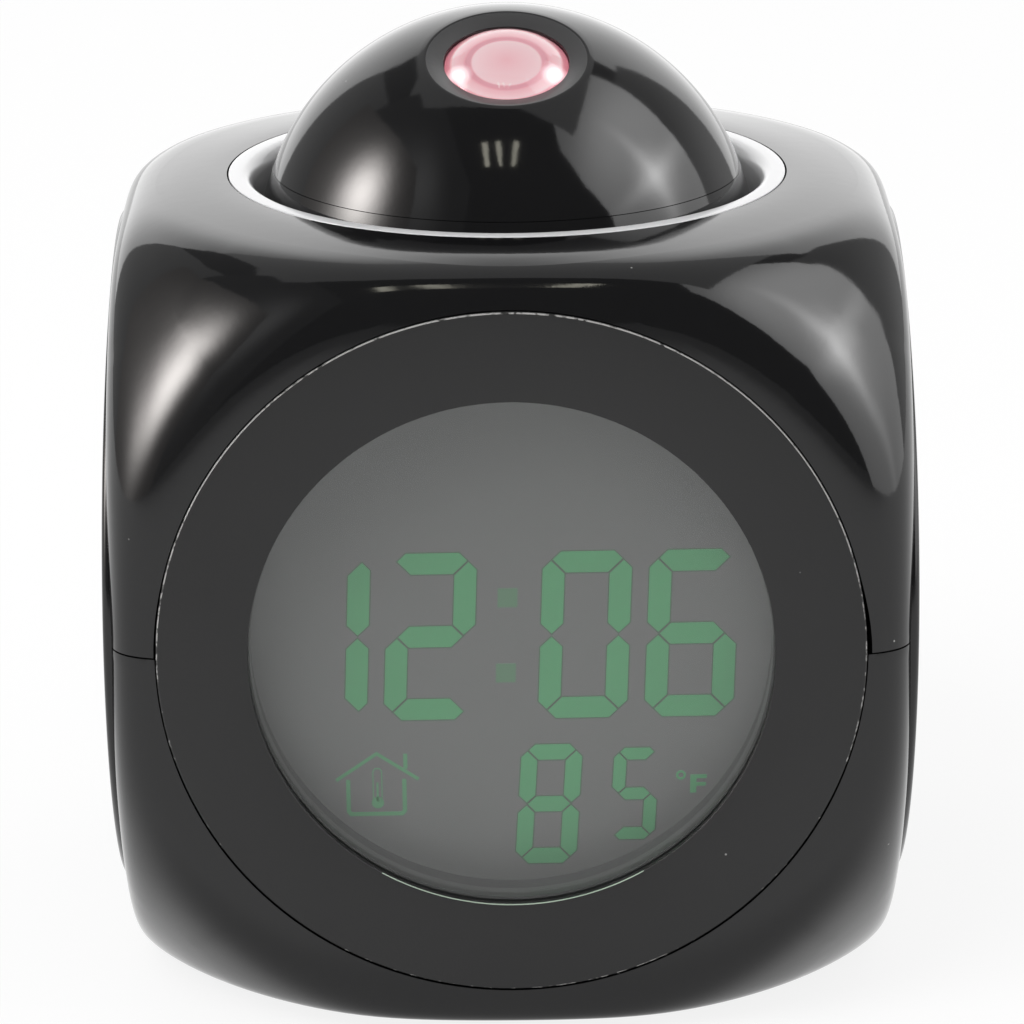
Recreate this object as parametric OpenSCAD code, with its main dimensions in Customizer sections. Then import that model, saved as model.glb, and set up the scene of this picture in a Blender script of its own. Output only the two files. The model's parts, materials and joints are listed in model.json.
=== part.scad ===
// Projection alarm clock: a rounded cube on four feet, with a round display in front,
// a projector ball on top that swivels and presses down, and keys, speaker and batteries inside.
// Millimetres. +Z is up, the display looks along -Y, and z = 0 is the plane the feet stand on.

/* [Body] */
// Width, depth and height of the cube across its flat faces
body_w = 79.7; // [78:0.1:83]
// How far the ball that rounds off the corners reaches beyond the flat faces
corner_out = 15.5; // [15:0.1:16.5]
// Rounding between each flat face and the corner ball
edge_r = 2.5; // [2.2:0.1:3]
// Wall of both shells
wall = 2.2; // [2:0.1:2.4]
// How far the parting line lies below mid height
seam_drop = 0.1; // [0:0.1:2]
// How far the feet stand out of the base
foot_out = 0.75; // [0.4:0.05:1.5]
// Thickness of a foot pad
foot_t = 1.2; // [1:0.1:1.6]
// Radius of a foot pad
foot_r = 3.2; // [2.5:0.1:3.6]

/* [Round faces] */
// Margin between a disc and the rounding of its face's edge
disc_margin = 1.94; // [1.7:0.02:2.4]
// Gap between a disc and the shells around it
disc_gap = 0.15; // [0.1:0.05:0.25]
// Thickness of the flange behind each disc
flange_t = 1.2; // [1:0.1:1.4]
// How far the side discs stand proud
side_out = 1.15; // [0.6:0.05:1.6]
// Rounding of the side discs
side_edge_r = 0.8; // [0.4:0.1:0.9]
// How far the back panel lies below the flat face
back_sink = 0.8; // [0.4:0.1:1.2]

/* [Display] */
// Gap between the display's tray and the guide cup above it
tray_clear = 0.45; // [0.3:0.05:2]
// How far the display glass reaches past the round window
glass_margin = 0.2; // [0.1:0.05:1]
// Thickness of the bezel lip in front of the window
lip_t = 0.8; // [0.6:0.1:1]
// Depth of the display below the front face
screen_depth = 7.5; // [7.3:0.1:8]
// Thickness of the display glass
lcd_t = 2.2; // [1.6:0.1:2.4]
// Thickness of the light guide
guide_t = 3; // [2.6:0.1:3.2]
// Thickness of every circuit board
board_t = 1.6; // [1:0.1:1.6]

/* [Projector ball] */
// Radius of the ball
ball_r = 26.05; // [25.8:0.05:26.2]
// How far the ball's centre lies below the top face
ball_sink = 8.45; // [8:0.05:8.8]
// Wall of the ball
ball_wall = 2; // [1.8:0.1:2.1]
// Gap between the turning cap and the collar under it
parting_gap = 0.2; // [0.15:0.05:0.3]
// Height of that gap above the top face
parting_rise = 0.8; // [0.4:0.1:1.2]
// Tilt of the projector from straight up
tilt = 22.5; // [20:0.5:25]
// Radius of the countersink's rim
rim_r = 8.25; // [8:0.05:8.5]
// Radius of the lens hole
lens_hole_r = 6.75; // [6.6:0.05:6.9]
// Height of the lens's dome
lens_rise = 2; // [1.6:0.1:2]
// How far the ball presses down
press_travel = 0.8; // [0.5:0.1:0.8]
// Width of the white ring round the ball
ring_w = 2.85; // [2.6:0.05:3.1]
// How far the white ring stands above the top face
ring_out = 0.5; // [0.2:0.05:0.6]

/* [Keys] */
// Radius of a key
key_r = 3.6; // [3:0.1:3.7]
// Distance between keys
key_pitch = 14; // [13.5:0.1:14.2]
// How far a key travels
key_travel = 0.7; // [0.4:0.1:0.7]
// How far the slide switch travels
switch_travel = 4; // [3:0.1:4]

/* [Batteries] */
// Length of a cell with its tip
cell_l = 44.5; // [44:0.1:44.6]
// Radius of a cell
cell_r = 5.2; // [5:0.05:5.25]
// Wall of the battery box
box_wall = 1.2; // [1:0.1:1.3]
// Thickness of the battery door
door_t = 1.2; // [1:0.1:1.3]

/* [Fits] */
// Gap round pieces that move
move_gap = 0.3; // [0.2:0.05:0.35]
// Running gap of the swivel, the press switch and the lens barrel
run_gap = 0.05; // [0.03:0.01:0.08]
// Radius of the case screws
screw_r = 1.2; // [1.1:0.05:1.3]
// Radius of the small screws
small_screw_r = 0.9; // [0.8:0.05:1]

/* [Hidden] */

$fn = 96;
fine = 144;         // facets shown on the large round forms
coarse = 32;        // facets shown on small round forms
over = 1;           // how far a cutter runs past what it cuts

// The cube and its shells
half = body_w / 2;
corner_r = half + corner_out;
mid_z = foot_out + half;
seam_z = mid_z - seam_drop;
inner_half = half - wall;
inner_r = corner_r - wall;
edge_h = half - edge_r;
edge_c = sqrt(pow(corner_r - edge_r, 2) - pow(edge_h, 2));
edge_a = atan2(edge_c, edge_h);
crease = 0.03;      // lets the rounding cross the flat and the ball at a slight angle
disc_r = edge_c - disc_margin;
hole_r = disc_r + disc_gap;
flange_lap = 0.8;   // how far a flange reaches behind the wall
flange_r = disc_r + flange_lap;
flange_in = inner_half - flange_t;
rib_t = 1.4;        // ribs that trap the round faces from inside
rib_w = 8;
rib_lap = 2.45;
rib_in_r = disc_r - rib_lap;

// Case screws, in posts between the side discs and the guide cup
post_r = 2.8;
post_low_r = 3.2;
post_gap = 0.35;
post_span = 14;     // least distance of a post from the middle plane
screw_head_r = 2 * screw_r - 0.2;
screw_head_t = 1.6;
screw_l = 12;
screw_shelf = 4;    // plastic between the screw's head and the parting line
foot_x = 17;
foot_inset = 12.35;
foot_y = half - foot_inset;
foot_gap = 0.1;

// Small screws and the bosses they go into
boss_r = 2.4;
small_head_r = 2 * small_screw_r;
small_head_t = 1.2;
small_screw_l = 5;

// Projector ball, measured from the cube's centre and along the lens axis
ball_z = mid_z + half - ball_sink;
parting_z = mid_z + half + parting_rise;
cap_z = parting_z + parting_gap / 2;
collar_top = parting_z - parting_gap / 2;
ball_in_r = ball_r - ball_wall;
rim_h = sqrt(pow(ball_r, 2) - pow(rim_r, 2));
sink_t = 0.65;      // depth of the countersink
socket_wall = 1.2;
barrel_wall = 1.25;
barrel_r = lens_hole_r + barrel_wall;
barrel_in_r = lens_hole_r - 0.45;
barrel_top = sqrt(pow(ball_in_r - 0.1, 2) - pow(barrel_r, 2));
barrel_bottom = 8;
lens_r = lens_hole_r - 0.1;
lens_edge_t = 1.6;
lens_h = barrel_top - lens_edge_t;
swivel_gap = 0.15;
swivel_r = sqrt(pow(ball_in_r, 2) - pow(cap_z - ball_z, 2)) - swivel_gap;
skirt_t = 1.6;
skirt_l = 3.2;
collar_flange_t = 1.6;
retainer_t = 1.2;
retainer_r = swivel_r + 0.6;
collar_bottom = ball_z - 0.2;
collar_floor_t = 1.4;
ring_neck_r = ball_r + move_gap;
ring_r = ring_neck_r + ring_w;
stop_r = ring_neck_r + 1.15;
stop_t = 1.4;

// White ring, its seat and the guide cup under it
ring_gap = 0.2;
ring_top = mid_z + half + ring_out;
ring_flange_t = 1.2;
ring_round = 1.5;
sleeve_r = ring_r - 1.5;
sleeve_l = 4.4;
sleeve_z = ring_top - sleeve_l;
cup_in_r = sleeve_r + ring_gap;
cup_wall = 1.4;
cup_r = cup_in_r + cup_wall;
cup_z = collar_bottom - press_travel - 0.4 - cup_wall;
ceiling_z = mid_z + inner_half;
ear_boss_l = 5;
ear_gap = 0.9;      // between the cup and an ear's boss
ear_r = cup_r + ear_gap + boss_r;
ear_angles = [60, 120, 240, 300];
post_x = flange_in - post_low_r - post_gap;
post_y = max(post_span, sqrt(max(0, pow(cup_r + post_r + move_gap, 2) - pow(post_x, 2))));
well_r = 9;
well_in_r = 8;
well_t = 1.2;
press_board_r = 7.6;
press_board_t = 1.2;
tact_w = 6;
plunger_r = 1.7;
plunger_gap = 0.1;
tact_top = cup_z + cup_wall + 0.2;
tact_h = 3.2;
tact_z = tact_top - tact_h;
well_z = tact_z - press_board_t - well_t;

// Display stack, from the front face inwards
tray_t = 1.5;
tray_gap = 0.15;
tray_out = cup_z - tray_clear - mid_z;
tray_in = tray_out - tray_t;
lcd_w = 2 * (tray_in - tray_gap);
lcd_y = screen_depth - half;
window_r = lcd_w / 2 - glass_margin;
window_t = wall - lip_t;
window_lap = 1.3;
window_out_r = window_r + window_lap;
tube_wall = 1.2;
tube_in_r = window_r + 0.1;
stack_y = lcd_y + lcd_t;
board_y = stack_y + guide_t;
main_board_h = 46;
boss_x = tray_out + boss_r - 0.4;
boss_z = 12;
board_edge = 3.85;  // board beyond the middle of its screws
main_board_w = 2 * (boss_x + board_edge);
zebra_t = 2.4;
led_w = 2;
sensor_x = 20;
sensor_inset = 3;

// Back panel, keys and speaker, measured from the back face inwards
panel_y = half - back_sink;
panel_in = flange_in;
key_rise = 17;
key_z = mid_z + key_rise;
key_flange_r = key_r + 1;
key_hole_r = key_r + move_gap;
key_back = panel_in - move_gap;
key_flange_t = 1;
pill_r = 2;
pill_t = 1;
pill_gap = 0.1;
key_board_y = key_back - key_flange_t - pill_t - key_travel - pill_gap - board_t;
key_board_w = 62;
key_board_h = 22;
key_board_rise = 13;
key_board_z = mid_z + key_board_rise;
stand_x = 28.5;
stand_low = 4.5;
stand_high = 14;
stand_z = [mid_z + stand_low, mid_z + stand_high];
stand_r = 2.2;
membrane_t = 0.6;
membrane_h = 12;
switch_rise = 6;
switch_z = mid_z + switch_rise;
knob_w = 3.6;
knob_h = 2.8;
knob_plate_w = knob_w + 2 * switch_travel + 1.4;
knob_plate_h = knob_h + 2.2;
knob_plate_t = 0.8;
knob_pin_r = 0.8;
slot_w = knob_w + switch_travel + 2 * move_gap;
slot_h = knob_h + 2 * move_gap;
speaker_drop = 13;
speaker_z = mid_z - speaker_drop;
speaker_r = 14;
speaker_t = 3;
magnet_r = 8;
magnet_t = 4;
grille_r = 0.9;
grille_rings = 2;
grille_pitch = 4;

// Battery bay
bay_l = cell_l + 3;
cell_pitch = 2 * cell_r + 0.2;
bay_w = 3 * cell_pitch + 0.4;
bay_h = 2 * cell_r + 0.8;
door_ledge = 1.4;
door_l = bay_l + 2 * door_ledge - 0.4;
door_w = bay_w + 2 * door_ledge - 0.4;
bay_floor = mid_z - half + door_t;
box_z = mid_z - inner_half;
box_top = bay_floor + bay_h + box_wall;
cell_z = bay_floor + 0.1 + cell_r;
contact_t = 0.3;
contact_w = 8;
tip_l = 0.9;
tip_r = 1.9;

// ---------- helpers ----------

// Turns a shape built along +Z so that it looks out of one of the six faces
FRONT = [90, 0, 0];
BACK = [-90, 0, 0];
LEFT = [0, -90, 0];
RIGHT = [0, 90, 0];
TOP = [0, 0, 0];
BOTTOM = [180, 0, 0];
module on_face(turn) {
    translate([0, 0, mid_z]) rotate(turn) children();
}

// Along +Y from a given y, standing on the cube's centre line
module along_y(y, z = mid_z, x = 0) {
    translate([x, y, z]) rotate([-90, 0, 0]) children();
}

// Puts a shape on the lens axis: its +Z runs from the ball's centre out of the lens
module on_lens_axis(h = 0) {
    translate([0, 0, ball_z]) rotate([tilt, 0, 0]) translate([0, 0, h]) children();
}

module tube(r_out, r_in, l) {
    difference() {
        cylinder(r = r_out, h = l);
        translate([0, 0, -over]) cylinder(r = r_in, h = l + 2 * over);
    }
}

// A box centred in x and y, standing on z = 0
module block(x, y, z) {
    translate([-x / 2, -y / 2, 0]) cube([x, y, z]);
}

module four_corners(x, y) {
    for (sx = [-1, 1])
        for (sy = [-1, 1])
            translate([sx * x, sy * y, 0]) children();
}

// A screw with its head's underside at z = 0 and its tip along +Z
module screw(r, head_r, head_t, l) {
    cylinder(r = r, h = l, $fn = coarse);
    translate([0, 0, -head_t]) cylinder(r = head_r, h = head_t, $fn = coarse);
}

// ---------- shells ----------

module edge_cutter() {
    cut = 3 * edge_r;
    rotate_extrude($fn = fine)
        difference() {
            polygon([[edge_c, edge_h], [edge_c, edge_h + cut],
                [edge_c + cut * sin(edge_a), edge_h + cut * cos(edge_a)]]);
            translate([edge_c, edge_h]) circle(r = edge_r + crease, $fn = 64);
        }
}

module body_form() {
    difference() {
        translate([0, 0, mid_z])
            intersection() {
                sphere(r = corner_r, $fn = fine);
                cube(body_w, center = true);
            }
        for (turn = [FRONT, BACK, LEFT, RIGHT, TOP, BOTTOM])
            on_face(turn) edge_cutter();
    }
}

module cavity() {
    translate([0, 0, mid_z])
        intersection() {
            sphere(r = inner_r, $fn = fine);
            cube(2 * inner_half, center = true);
        }
}

// Four ribs behind a round face, reaching from the shell's wall to the flange
module trap_ribs(top_h) {
    intersection() {
        for (a = [45:90:315])
            rotate([0, 0, a])
                translate([rib_in_r, -rib_w / 2, top_h - rib_t])
                    cube([inner_r, rib_w, rib_t]);
        sphere(r = inner_r + wall / 2, $fn = fine);
    }
}

module shell_pair() {
    difference() {
        union() {
            difference() {
                body_form();
                cavity();
            }
            on_face(FRONT) trap_ribs(flange_in - flange_t);
            for (turn = [BACK, LEFT, RIGHT])
                on_face(turn) trap_ribs(flange_in);
        }
        for (turn = [FRONT, BACK, LEFT, RIGHT])
            on_face(turn)
                translate([0, 0, inner_half - over])
                    cylinder(r = hole_r, h = wall + side_out + over, $fn = fine);
    }
}

module upper_shell() {
    color("#1b1b1d")
    difference() {
        union() {
            intersection() {
                shell_pair();
                translate([0, 0, seam_z]) block(2 * body_w, 2 * body_w, body_w);
            }
            four_corners(post_x, post_y)
                translate([0, 0, seam_z]) cylinder(r = post_r, h = ceiling_z - seam_z + wall / 2);
            for (a = ear_angles)
                rotate([0, 0, a]) translate([ear_r, 0, ceiling_z - ear_boss_l])
                    cylinder(r = boss_r, h = ear_boss_l + wall / 2);
        }
        // The white ring's seat and the hole for its sleeve
        translate([0, 0, ring_top - ring_flange_t])
            cylinder(r = ring_r + ring_gap, h = wall + over, $fn = fine);
        translate([0, 0, ceiling_z - over])
            cylinder(r = cup_in_r, h = wall + 2 * over, $fn = fine);
        four_corners(post_x, post_y)
            translate([0, 0, seam_z - over])
                cylinder(r = screw_r, h = screw_l - screw_shelf + 2 * over, $fn = coarse);
        for (a = ear_angles)
            rotate([0, 0, a]) translate([ear_r, 0, ceiling_z - ear_boss_l - over])
                cylinder(r = small_screw_r, h = small_screw_l + over, $fn = coarse);
    }
}

module lower_shell() {
    color("#1b1b1d")
    difference() {
        union() {
            intersection() {
                shell_pair();
                translate([0, 0, seam_z - body_w]) block(2 * body_w, 2 * body_w, body_w);
            }
            four_corners(post_x, post_y)
                translate([0, 0, box_z - wall / 2])
                    cylinder(r = post_low_r, h = seam_z - box_z + wall / 2);
        }
        // Screw holes, feet and the battery door with its ledge
        four_corners(post_x, post_y) {
            translate([0, 0, -over])
                cylinder(r = screw_head_r + 0.2, h = seam_z - screw_shelf + over, $fn = coarse);
            cylinder(r = screw_r + 0.15, h = seam_z + over, $fn = coarse);
        }
        four_corners(foot_x, foot_y)
            cylinder(r = foot_r + foot_gap, h = foot_t, $fn = coarse);
        block(bay_l, bay_w, box_z + over);
        block(door_l + 2 * move_gap, door_w + 2 * move_gap, bay_floor);
    }
}

module feet() {
    color("#2a2a2a")
    four_corners(foot_x, foot_y) cylinder(r = foot_r, h = foot_t, $fn = coarse);
}

module case_screws() {
    color("silver")
    four_corners(post_x, post_y)
        translate([0, 0, seam_z - screw_shelf])
            screw(screw_r, screw_head_r, screw_head_t, screw_l);
}

// ---------- round faces ----------

// A plug that fills a round hole, with the flange that traps it behind the wall
module disc_blank(top_h) {
    translate([0, 0, inner_half]) cylinder(r = disc_r, h = top_h - inner_half, $fn = fine);
    translate([0, 0, flange_in]) cylinder(r = flange_r, h = flange_t, $fn = fine);
}

module side_disc(turn) {
    color("#202022")
    on_face(turn) {
        translate([0, 0, flange_in])
            rotate_extrude($fn = fine)
                difference() {
                    union() {
                        square([flange_r, flange_t]);
                        square([disc_r, half + side_out - flange_in - side_edge_r]);
                        square([disc_r - side_edge_r, half + side_out - flange_in]);
                        translate([disc_r - side_edge_r, half + side_out - flange_in - side_edge_r])
                            circle(r = side_edge_r, $fn = coarse);
                    }
                    // hollow behind, so that the disc is a moulding of even wall
                    square([disc_r - 2 * wall, flange_t + side_out]);
                }
    }
}

module left_disc() {
    side_disc(LEFT);
}

module right_disc() {
    side_disc(RIGHT);
}

module front_bezel() {
    color("#303032")
    on_face(FRONT)
        difference() {
            disc_blank(half);
            cylinder(r = window_r, h = half + over, $fn = fine);
            cylinder(r = window_out_r + 0.1, h = half - lip_t, $fn = fine);
        }
}

module front_window() {
    color("#c8d0d0", 0.3)
    on_face(FRONT)
        translate([0, 0, half - lip_t - window_t])
            cylinder(r = window_out_r, h = window_t, $fn = fine);
}

// ---------- display ----------

// Carries the glass, the light guide and the main board behind the bezel
module display_housing() {
    color("#3c3c3e")
    difference() {
        union() {
            on_face(FRONT) {
                translate([0, 0, -lcd_y]) cylinder(r = tube_in_r + tube_wall, h = lcd_y + inner_half, $fn = fine);
                translate([0, 0, flange_in - flange_t]) cylinder(r = rib_in_r + over, h = flange_t, $fn = fine);
            }
            intersection() {
                translate([-tray_out, lcd_y - tray_t, mid_z - tray_out])
                    cube([2 * tray_out, board_y - lcd_y + tray_t, 2 * tray_out]);
                translate([0, 0, mid_z]) sphere(r = inner_r - move_gap, $fn = fine);
            }
            for (sx = [-1, 1])
                for (sz = [-1, 1])
                    along_y(lcd_y - tray_t, mid_z + sz * boss_z, sx * boss_x)
                        cylinder(r = boss_r, h = board_y - lcd_y + tray_t);
        }
        on_face(FRONT) cylinder(r = tube_in_r, h = half, $fn = fine);
        translate([-tray_in, lcd_y, mid_z - tray_in]) cube([2 * tray_in, half, 2 * tray_in]);
        for (sx = [-1, 1])
            for (sz = [-1, 1])
                along_y(board_y - small_screw_l, mid_z + sz * boss_z, sx * boss_x)
                    cylinder(r = small_screw_r, h = small_screw_l + over, $fn = coarse);
    }
}

module lcd_panel() {
    color("#6a7068")
    translate([-lcd_w / 2, lcd_y, mid_z - lcd_w / 2]) cube([lcd_w, lcd_t, lcd_w]);
}

module light_guide() {
    guide_w = lcd_w - 2 * led_w - 0.4;
    guide_h = lcd_w - 2 * zebra_t - 0.6;
    color("#e4ece0")
    translate([-guide_w / 2, stack_y, mid_z - guide_h / 2]) cube([guide_w, guide_t, guide_h]);
}

module backlight_leds() {
    led_h = 6;
    color("#7fd08f")
    for (sx = [-1, 1])
        translate([sx * (lcd_w - led_w) / 2 - led_w / 2, stack_y, mid_z - led_h / 2])
            cube([led_w, guide_t, led_h]);
}

module zebra_strips() {
    color("#8a8a86")
    for (sz = [-1, 1])
        translate([-lcd_w / 2 + led_w, stack_y, mid_z + sz * (lcd_w - zebra_t) / 2 - zebra_t / 2])
            cube([lcd_w - 2 * led_w, guide_t, zebra_t]);
}

module main_board() {
    color("#2c5a38")
    difference() {
        translate([-main_board_w / 2, board_y, mid_z - main_board_h / 2])
            cube([main_board_w, board_t, main_board_h]);
        for (sx = [-1, 1])
            for (sz = [-1, 1])
                along_y(board_y - over, mid_z + sz * boss_z, sx * boss_x)
                    cylinder(r = small_screw_r + 0.15, h = board_t + 2 * over, $fn = coarse);
    }
}

module clock_chip() {
    chip_r = 6;
    chip_t = 1.4;
    chip_drop = 4;
    color("#141414")
    along_y(board_y + board_t, mid_z - chip_drop)
        intersection() {
            cylinder(r = chip_r, h = chip_t);
            translate([0, 0, -chip_r * 2]) sphere(r = 2 * chip_r + chip_t);
        }
}

module temperature_sensor() {
    bead_r = 1.4;
    leg_r = 0.3;
    leg_l = 4;
    color("#7a3a20")
    along_y(board_y + board_t, mid_z - main_board_h / 2 + sensor_inset, sensor_x) {
        translate([0, 0, leg_l]) sphere(r = bead_r, $fn = coarse);
        for (sx = [-1, 1])
            translate([sx * bead_r / 2, 0, 0]) cylinder(r = leg_r, h = leg_l, $fn = 16);
    }
}

module board_screws() {
    color("silver")
    for (sx = [-1, 1])
        for (sz = [-1, 1])
            translate([sx * boss_x, board_y + board_t, mid_z + sz * boss_z])
                rotate([90, 0, 0]) screw(small_screw_r, small_head_r, small_head_t, small_screw_l + board_t - 0.5);
}

// ---------- back panel, keys and speaker ----------

module grille_cuts() {
    along_y(panel_in - over, speaker_z) {
        cylinder(r = grille_r, h = half, $fn = 24);
        for (ring = [1:grille_rings])
            for (i = [1:6 * ring])
                rotate([0, 0, i * 60 / ring]) translate([ring * grille_pitch, 0, 0])
                    cylinder(r = grille_r, h = half, $fn = 24);
    }
}

module back_panel() {
    color("#202022")
    difference() {
        union() {
            on_face(BACK) disc_blank(panel_y);
            for (sx = [-1, 1])
                for (z = stand_z)
                    along_y(key_board_y + board_t, z, sx * stand_x)
                        cylinder(r = stand_r, h = panel_in - key_board_y - board_t + over / 2);
        }
        for (i = [-1.5:1:1.5])
            along_y(panel_in - over, key_z, i * key_pitch) cylinder(r = key_hole_r, h = half);
        translate([-slot_w / 2, panel_in - over, switch_z - slot_h / 2]) cube([slot_w, half, slot_h]);
        grille_cuts();
        for (sx = [-1, 1])
            for (z = stand_z)
                along_y(key_board_y, z, sx * stand_x) cylinder(r = small_screw_r, h = panel_in - key_board_y, $fn = coarse);
    }
}

// One key: the stem through the panel, the flange behind it and the contact pill
module key(i) {
    color("#2c2c2e")
    along_y(0, key_z, i * key_pitch) {
        translate([0, 0, key_back - key_flange_t]) cylinder(r = key_r, h = half - key_back + key_flange_t);
        translate([0, 0, key_back - key_flange_t]) cylinder(r = key_flange_r, h = key_flange_t);
        translate([0, 0, key_back - key_flange_t - pill_t])
            cylinder(r = pill_r, h = pill_t, $fn = coarse);
    }
}

module alarm_key() {
    key(1.5);
}

module set_key() {
    key(0.5);
}

module up_key() {
    key(-0.5);
}

module down_key() {
    key(-1.5);
}

module key_board() {
    color("#2c5a38")
    difference() {
        translate([-key_board_w / 2, key_board_y, key_board_z - key_board_h / 2])
            cube([key_board_w, board_t, key_board_h]);
        for (sx = [-1, 1])
            for (z = stand_z)
                along_y(key_board_y - over, z, sx * stand_x)
                    cylinder(r = small_screw_r + 0.15, h = board_t + 2 * over, $fn = coarse);
    }
}

module key_membrane() {
    membrane_margin = 5;
    membrane_w = 3 * key_pitch + 2 * membrane_margin;
    color("#b8b8b0")
    difference() {
        translate([-membrane_w / 2, key_board_y + board_t, key_z - membrane_h / 2])
            cube([membrane_w, membrane_t, membrane_h]);
        for (i = [-1.5:1:1.5])
            along_y(key_board_y, key_z, i * key_pitch)
                cylinder(r = pill_r + move_gap, h = board_t + membrane_t + over, $fn = coarse);
    }
}

// The switch on the board and the knob that the user slides
module slide_switch() {
    can_w = switch_travel + 2 * knob_pin_r + 3;
    can_h = 3.6;
    can_t = 1.8;
    way = switch_travel + 2 * knob_pin_r + 2 * move_gap;
    color("silver")
    difference() {
        translate([-can_w / 2, key_board_y + board_t, switch_z - can_h / 2]) cube([can_w, can_t, can_h]);
        translate([-way / 2, key_board_y + board_t + 0.6, switch_z - knob_pin_r - move_gap])
            cube([way, can_t, 2 * (knob_pin_r + move_gap)]);
    }
}

module switch_knob() {
    plate_y = key_back - knob_plate_t;
    color("#2c2c2e")
    translate([-switch_travel / 2, 0, switch_z]) {
        translate([-knob_w / 2, plate_y, -knob_h / 2]) cube([knob_w, half - plate_y, knob_h]);
        translate([-knob_plate_w / 2, plate_y, -knob_plate_h / 2])
            cube([knob_plate_w, knob_plate_t, knob_plate_h]);
        translate([0, key_board_y + board_t + 1, 0]) rotate([-90, 0, 0])
            cylinder(r = knob_pin_r, h = key_back - key_board_y - board_t, $fn = coarse);
    }
}

module speaker() {
    color("#4a4a4c")
    along_y(0, speaker_z) {
        translate([0, 0, panel_in - speaker_t]) cylinder(r = speaker_r, h = speaker_t);
        translate([0, 0, panel_in - speaker_t - magnet_t]) cylinder(r = magnet_r, h = magnet_t);
    }
}

// ---------- ring, guide and press switch ----------

// White ring: a flat band that rounds over into a throat, on a sleeve
module top_ring() {
    neck = ring_neck_r;
    color("#eeeef0")
    translate([0, 0, ring_top])
        rotate_extrude($fn = fine)
            difference() {
                union() {
                    translate([neck, -ring_flange_t]) square([ring_r - neck, ring_flange_t]);
                    translate([neck, -sleeve_l]) square([sleeve_r - neck, sleeve_l]);
                }
                // the rounding towards the ball
                difference() {
                    translate([neck - over, -ring_round]) square([ring_round + over, ring_round + over]);
                    translate([neck + ring_round, -ring_round]) circle(r = ring_round, $fn = 64);
                }
            }
}

module dome_guide() {
    color("#2a2a2c")
    difference() {
        union() {
            translate([0, 0, cup_z]) cylinder(r = cup_r, h = ceiling_z - cup_z, $fn = fine);
            translate([0, 0, well_z]) cylinder(r = well_r, h = cup_z - well_z + cup_wall);
            for (a = ear_angles)
                rotate([0, 0, a])
                    translate([0, 0, ceiling_z - ear_boss_l - cup_wall]) {
                        translate([cup_in_r, -boss_r, 0]) cube([ear_r - cup_in_r, 2 * boss_r, cup_wall]);
                        translate([ear_r, 0, 0]) cylinder(r = boss_r, h = cup_wall);
                    }
        }
        translate([0, 0, cup_z + cup_wall]) cylinder(r = cup_in_r, h = body_w, $fn = fine);
        translate([0, 0, well_z + well_t]) cylinder(r = well_in_r, h = body_w);
        for (a = ear_angles)
            rotate([0, 0, a]) translate([ear_r, 0, ceiling_z - ear_boss_l - 2 * cup_wall])
                cylinder(r = small_screw_r + 0.15, h = 2 * cup_wall + over, $fn = coarse);
    }
}

module guide_screws() {
    color("silver")
    for (a = ear_angles)
        rotate([0, 0, a]) translate([ear_r, 0, ceiling_z - ear_boss_l - cup_wall])
            screw(small_screw_r, small_head_r, small_head_t, small_screw_l);
}

module press_board() {
    color("#2c5a38")
    translate([0, 0, tact_z - press_board_t]) cylinder(r = press_board_r, h = press_board_t);
}

module press_switch() {
    floor_t = 0.6;
    color("#3a3a3a")
    difference() {
        translate([0, 0, tact_z]) block(tact_w, tact_w, tact_h);
        translate([0, 0, tact_z + floor_t]) cylinder(r = plunger_r + run_gap, h = tact_h, $fn = coarse);
    }
}

module press_plunger() {
    plunger_top = collar_bottom - plunger_gap;
    plunger_l = plunger_top - tact_top + 1.4;
    color("#c8b060")
    translate([0, 0, plunger_top - plunger_l]) cylinder(r = plunger_r, h = plunger_l, $fn = coarse);
}

// ---------- projector ball ----------

// The lower zone of the ball: it presses down and the cap turns on it
module press_collar() {
    wire_hole_r = 3;
    color("#1b1b1d")
    difference() {
        union() {
            intersection() {
                translate([0, 0, ball_z]) sphere(r = ball_r, $fn = fine);
                translate([0, 0, collar_bottom]) cylinder(r = ball_r + over, h = collar_top - collar_bottom);
            }
            translate([0, 0, sleeve_z - ring_gap - stop_t]) cylinder(r = stop_r, h = stop_t, $fn = fine);
        }
        intersection() {
            translate([0, 0, ball_z]) sphere(r = ball_in_r, $fn = fine);
            translate([0, 0, collar_bottom + collar_floor_t])
                cylinder(r = ball_r, h = collar_top - collar_flange_t - collar_bottom - collar_floor_t);
        }
        translate([0, 0, collar_bottom + collar_floor_t]) cylinder(r = swivel_r + run_gap, h = body_w, $fn = fine);
        translate([swivel_r / 2, 0, collar_bottom - over]) cylinder(r = wire_hole_r, h = 4 * over, $fn = coarse);
    }
}

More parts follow.
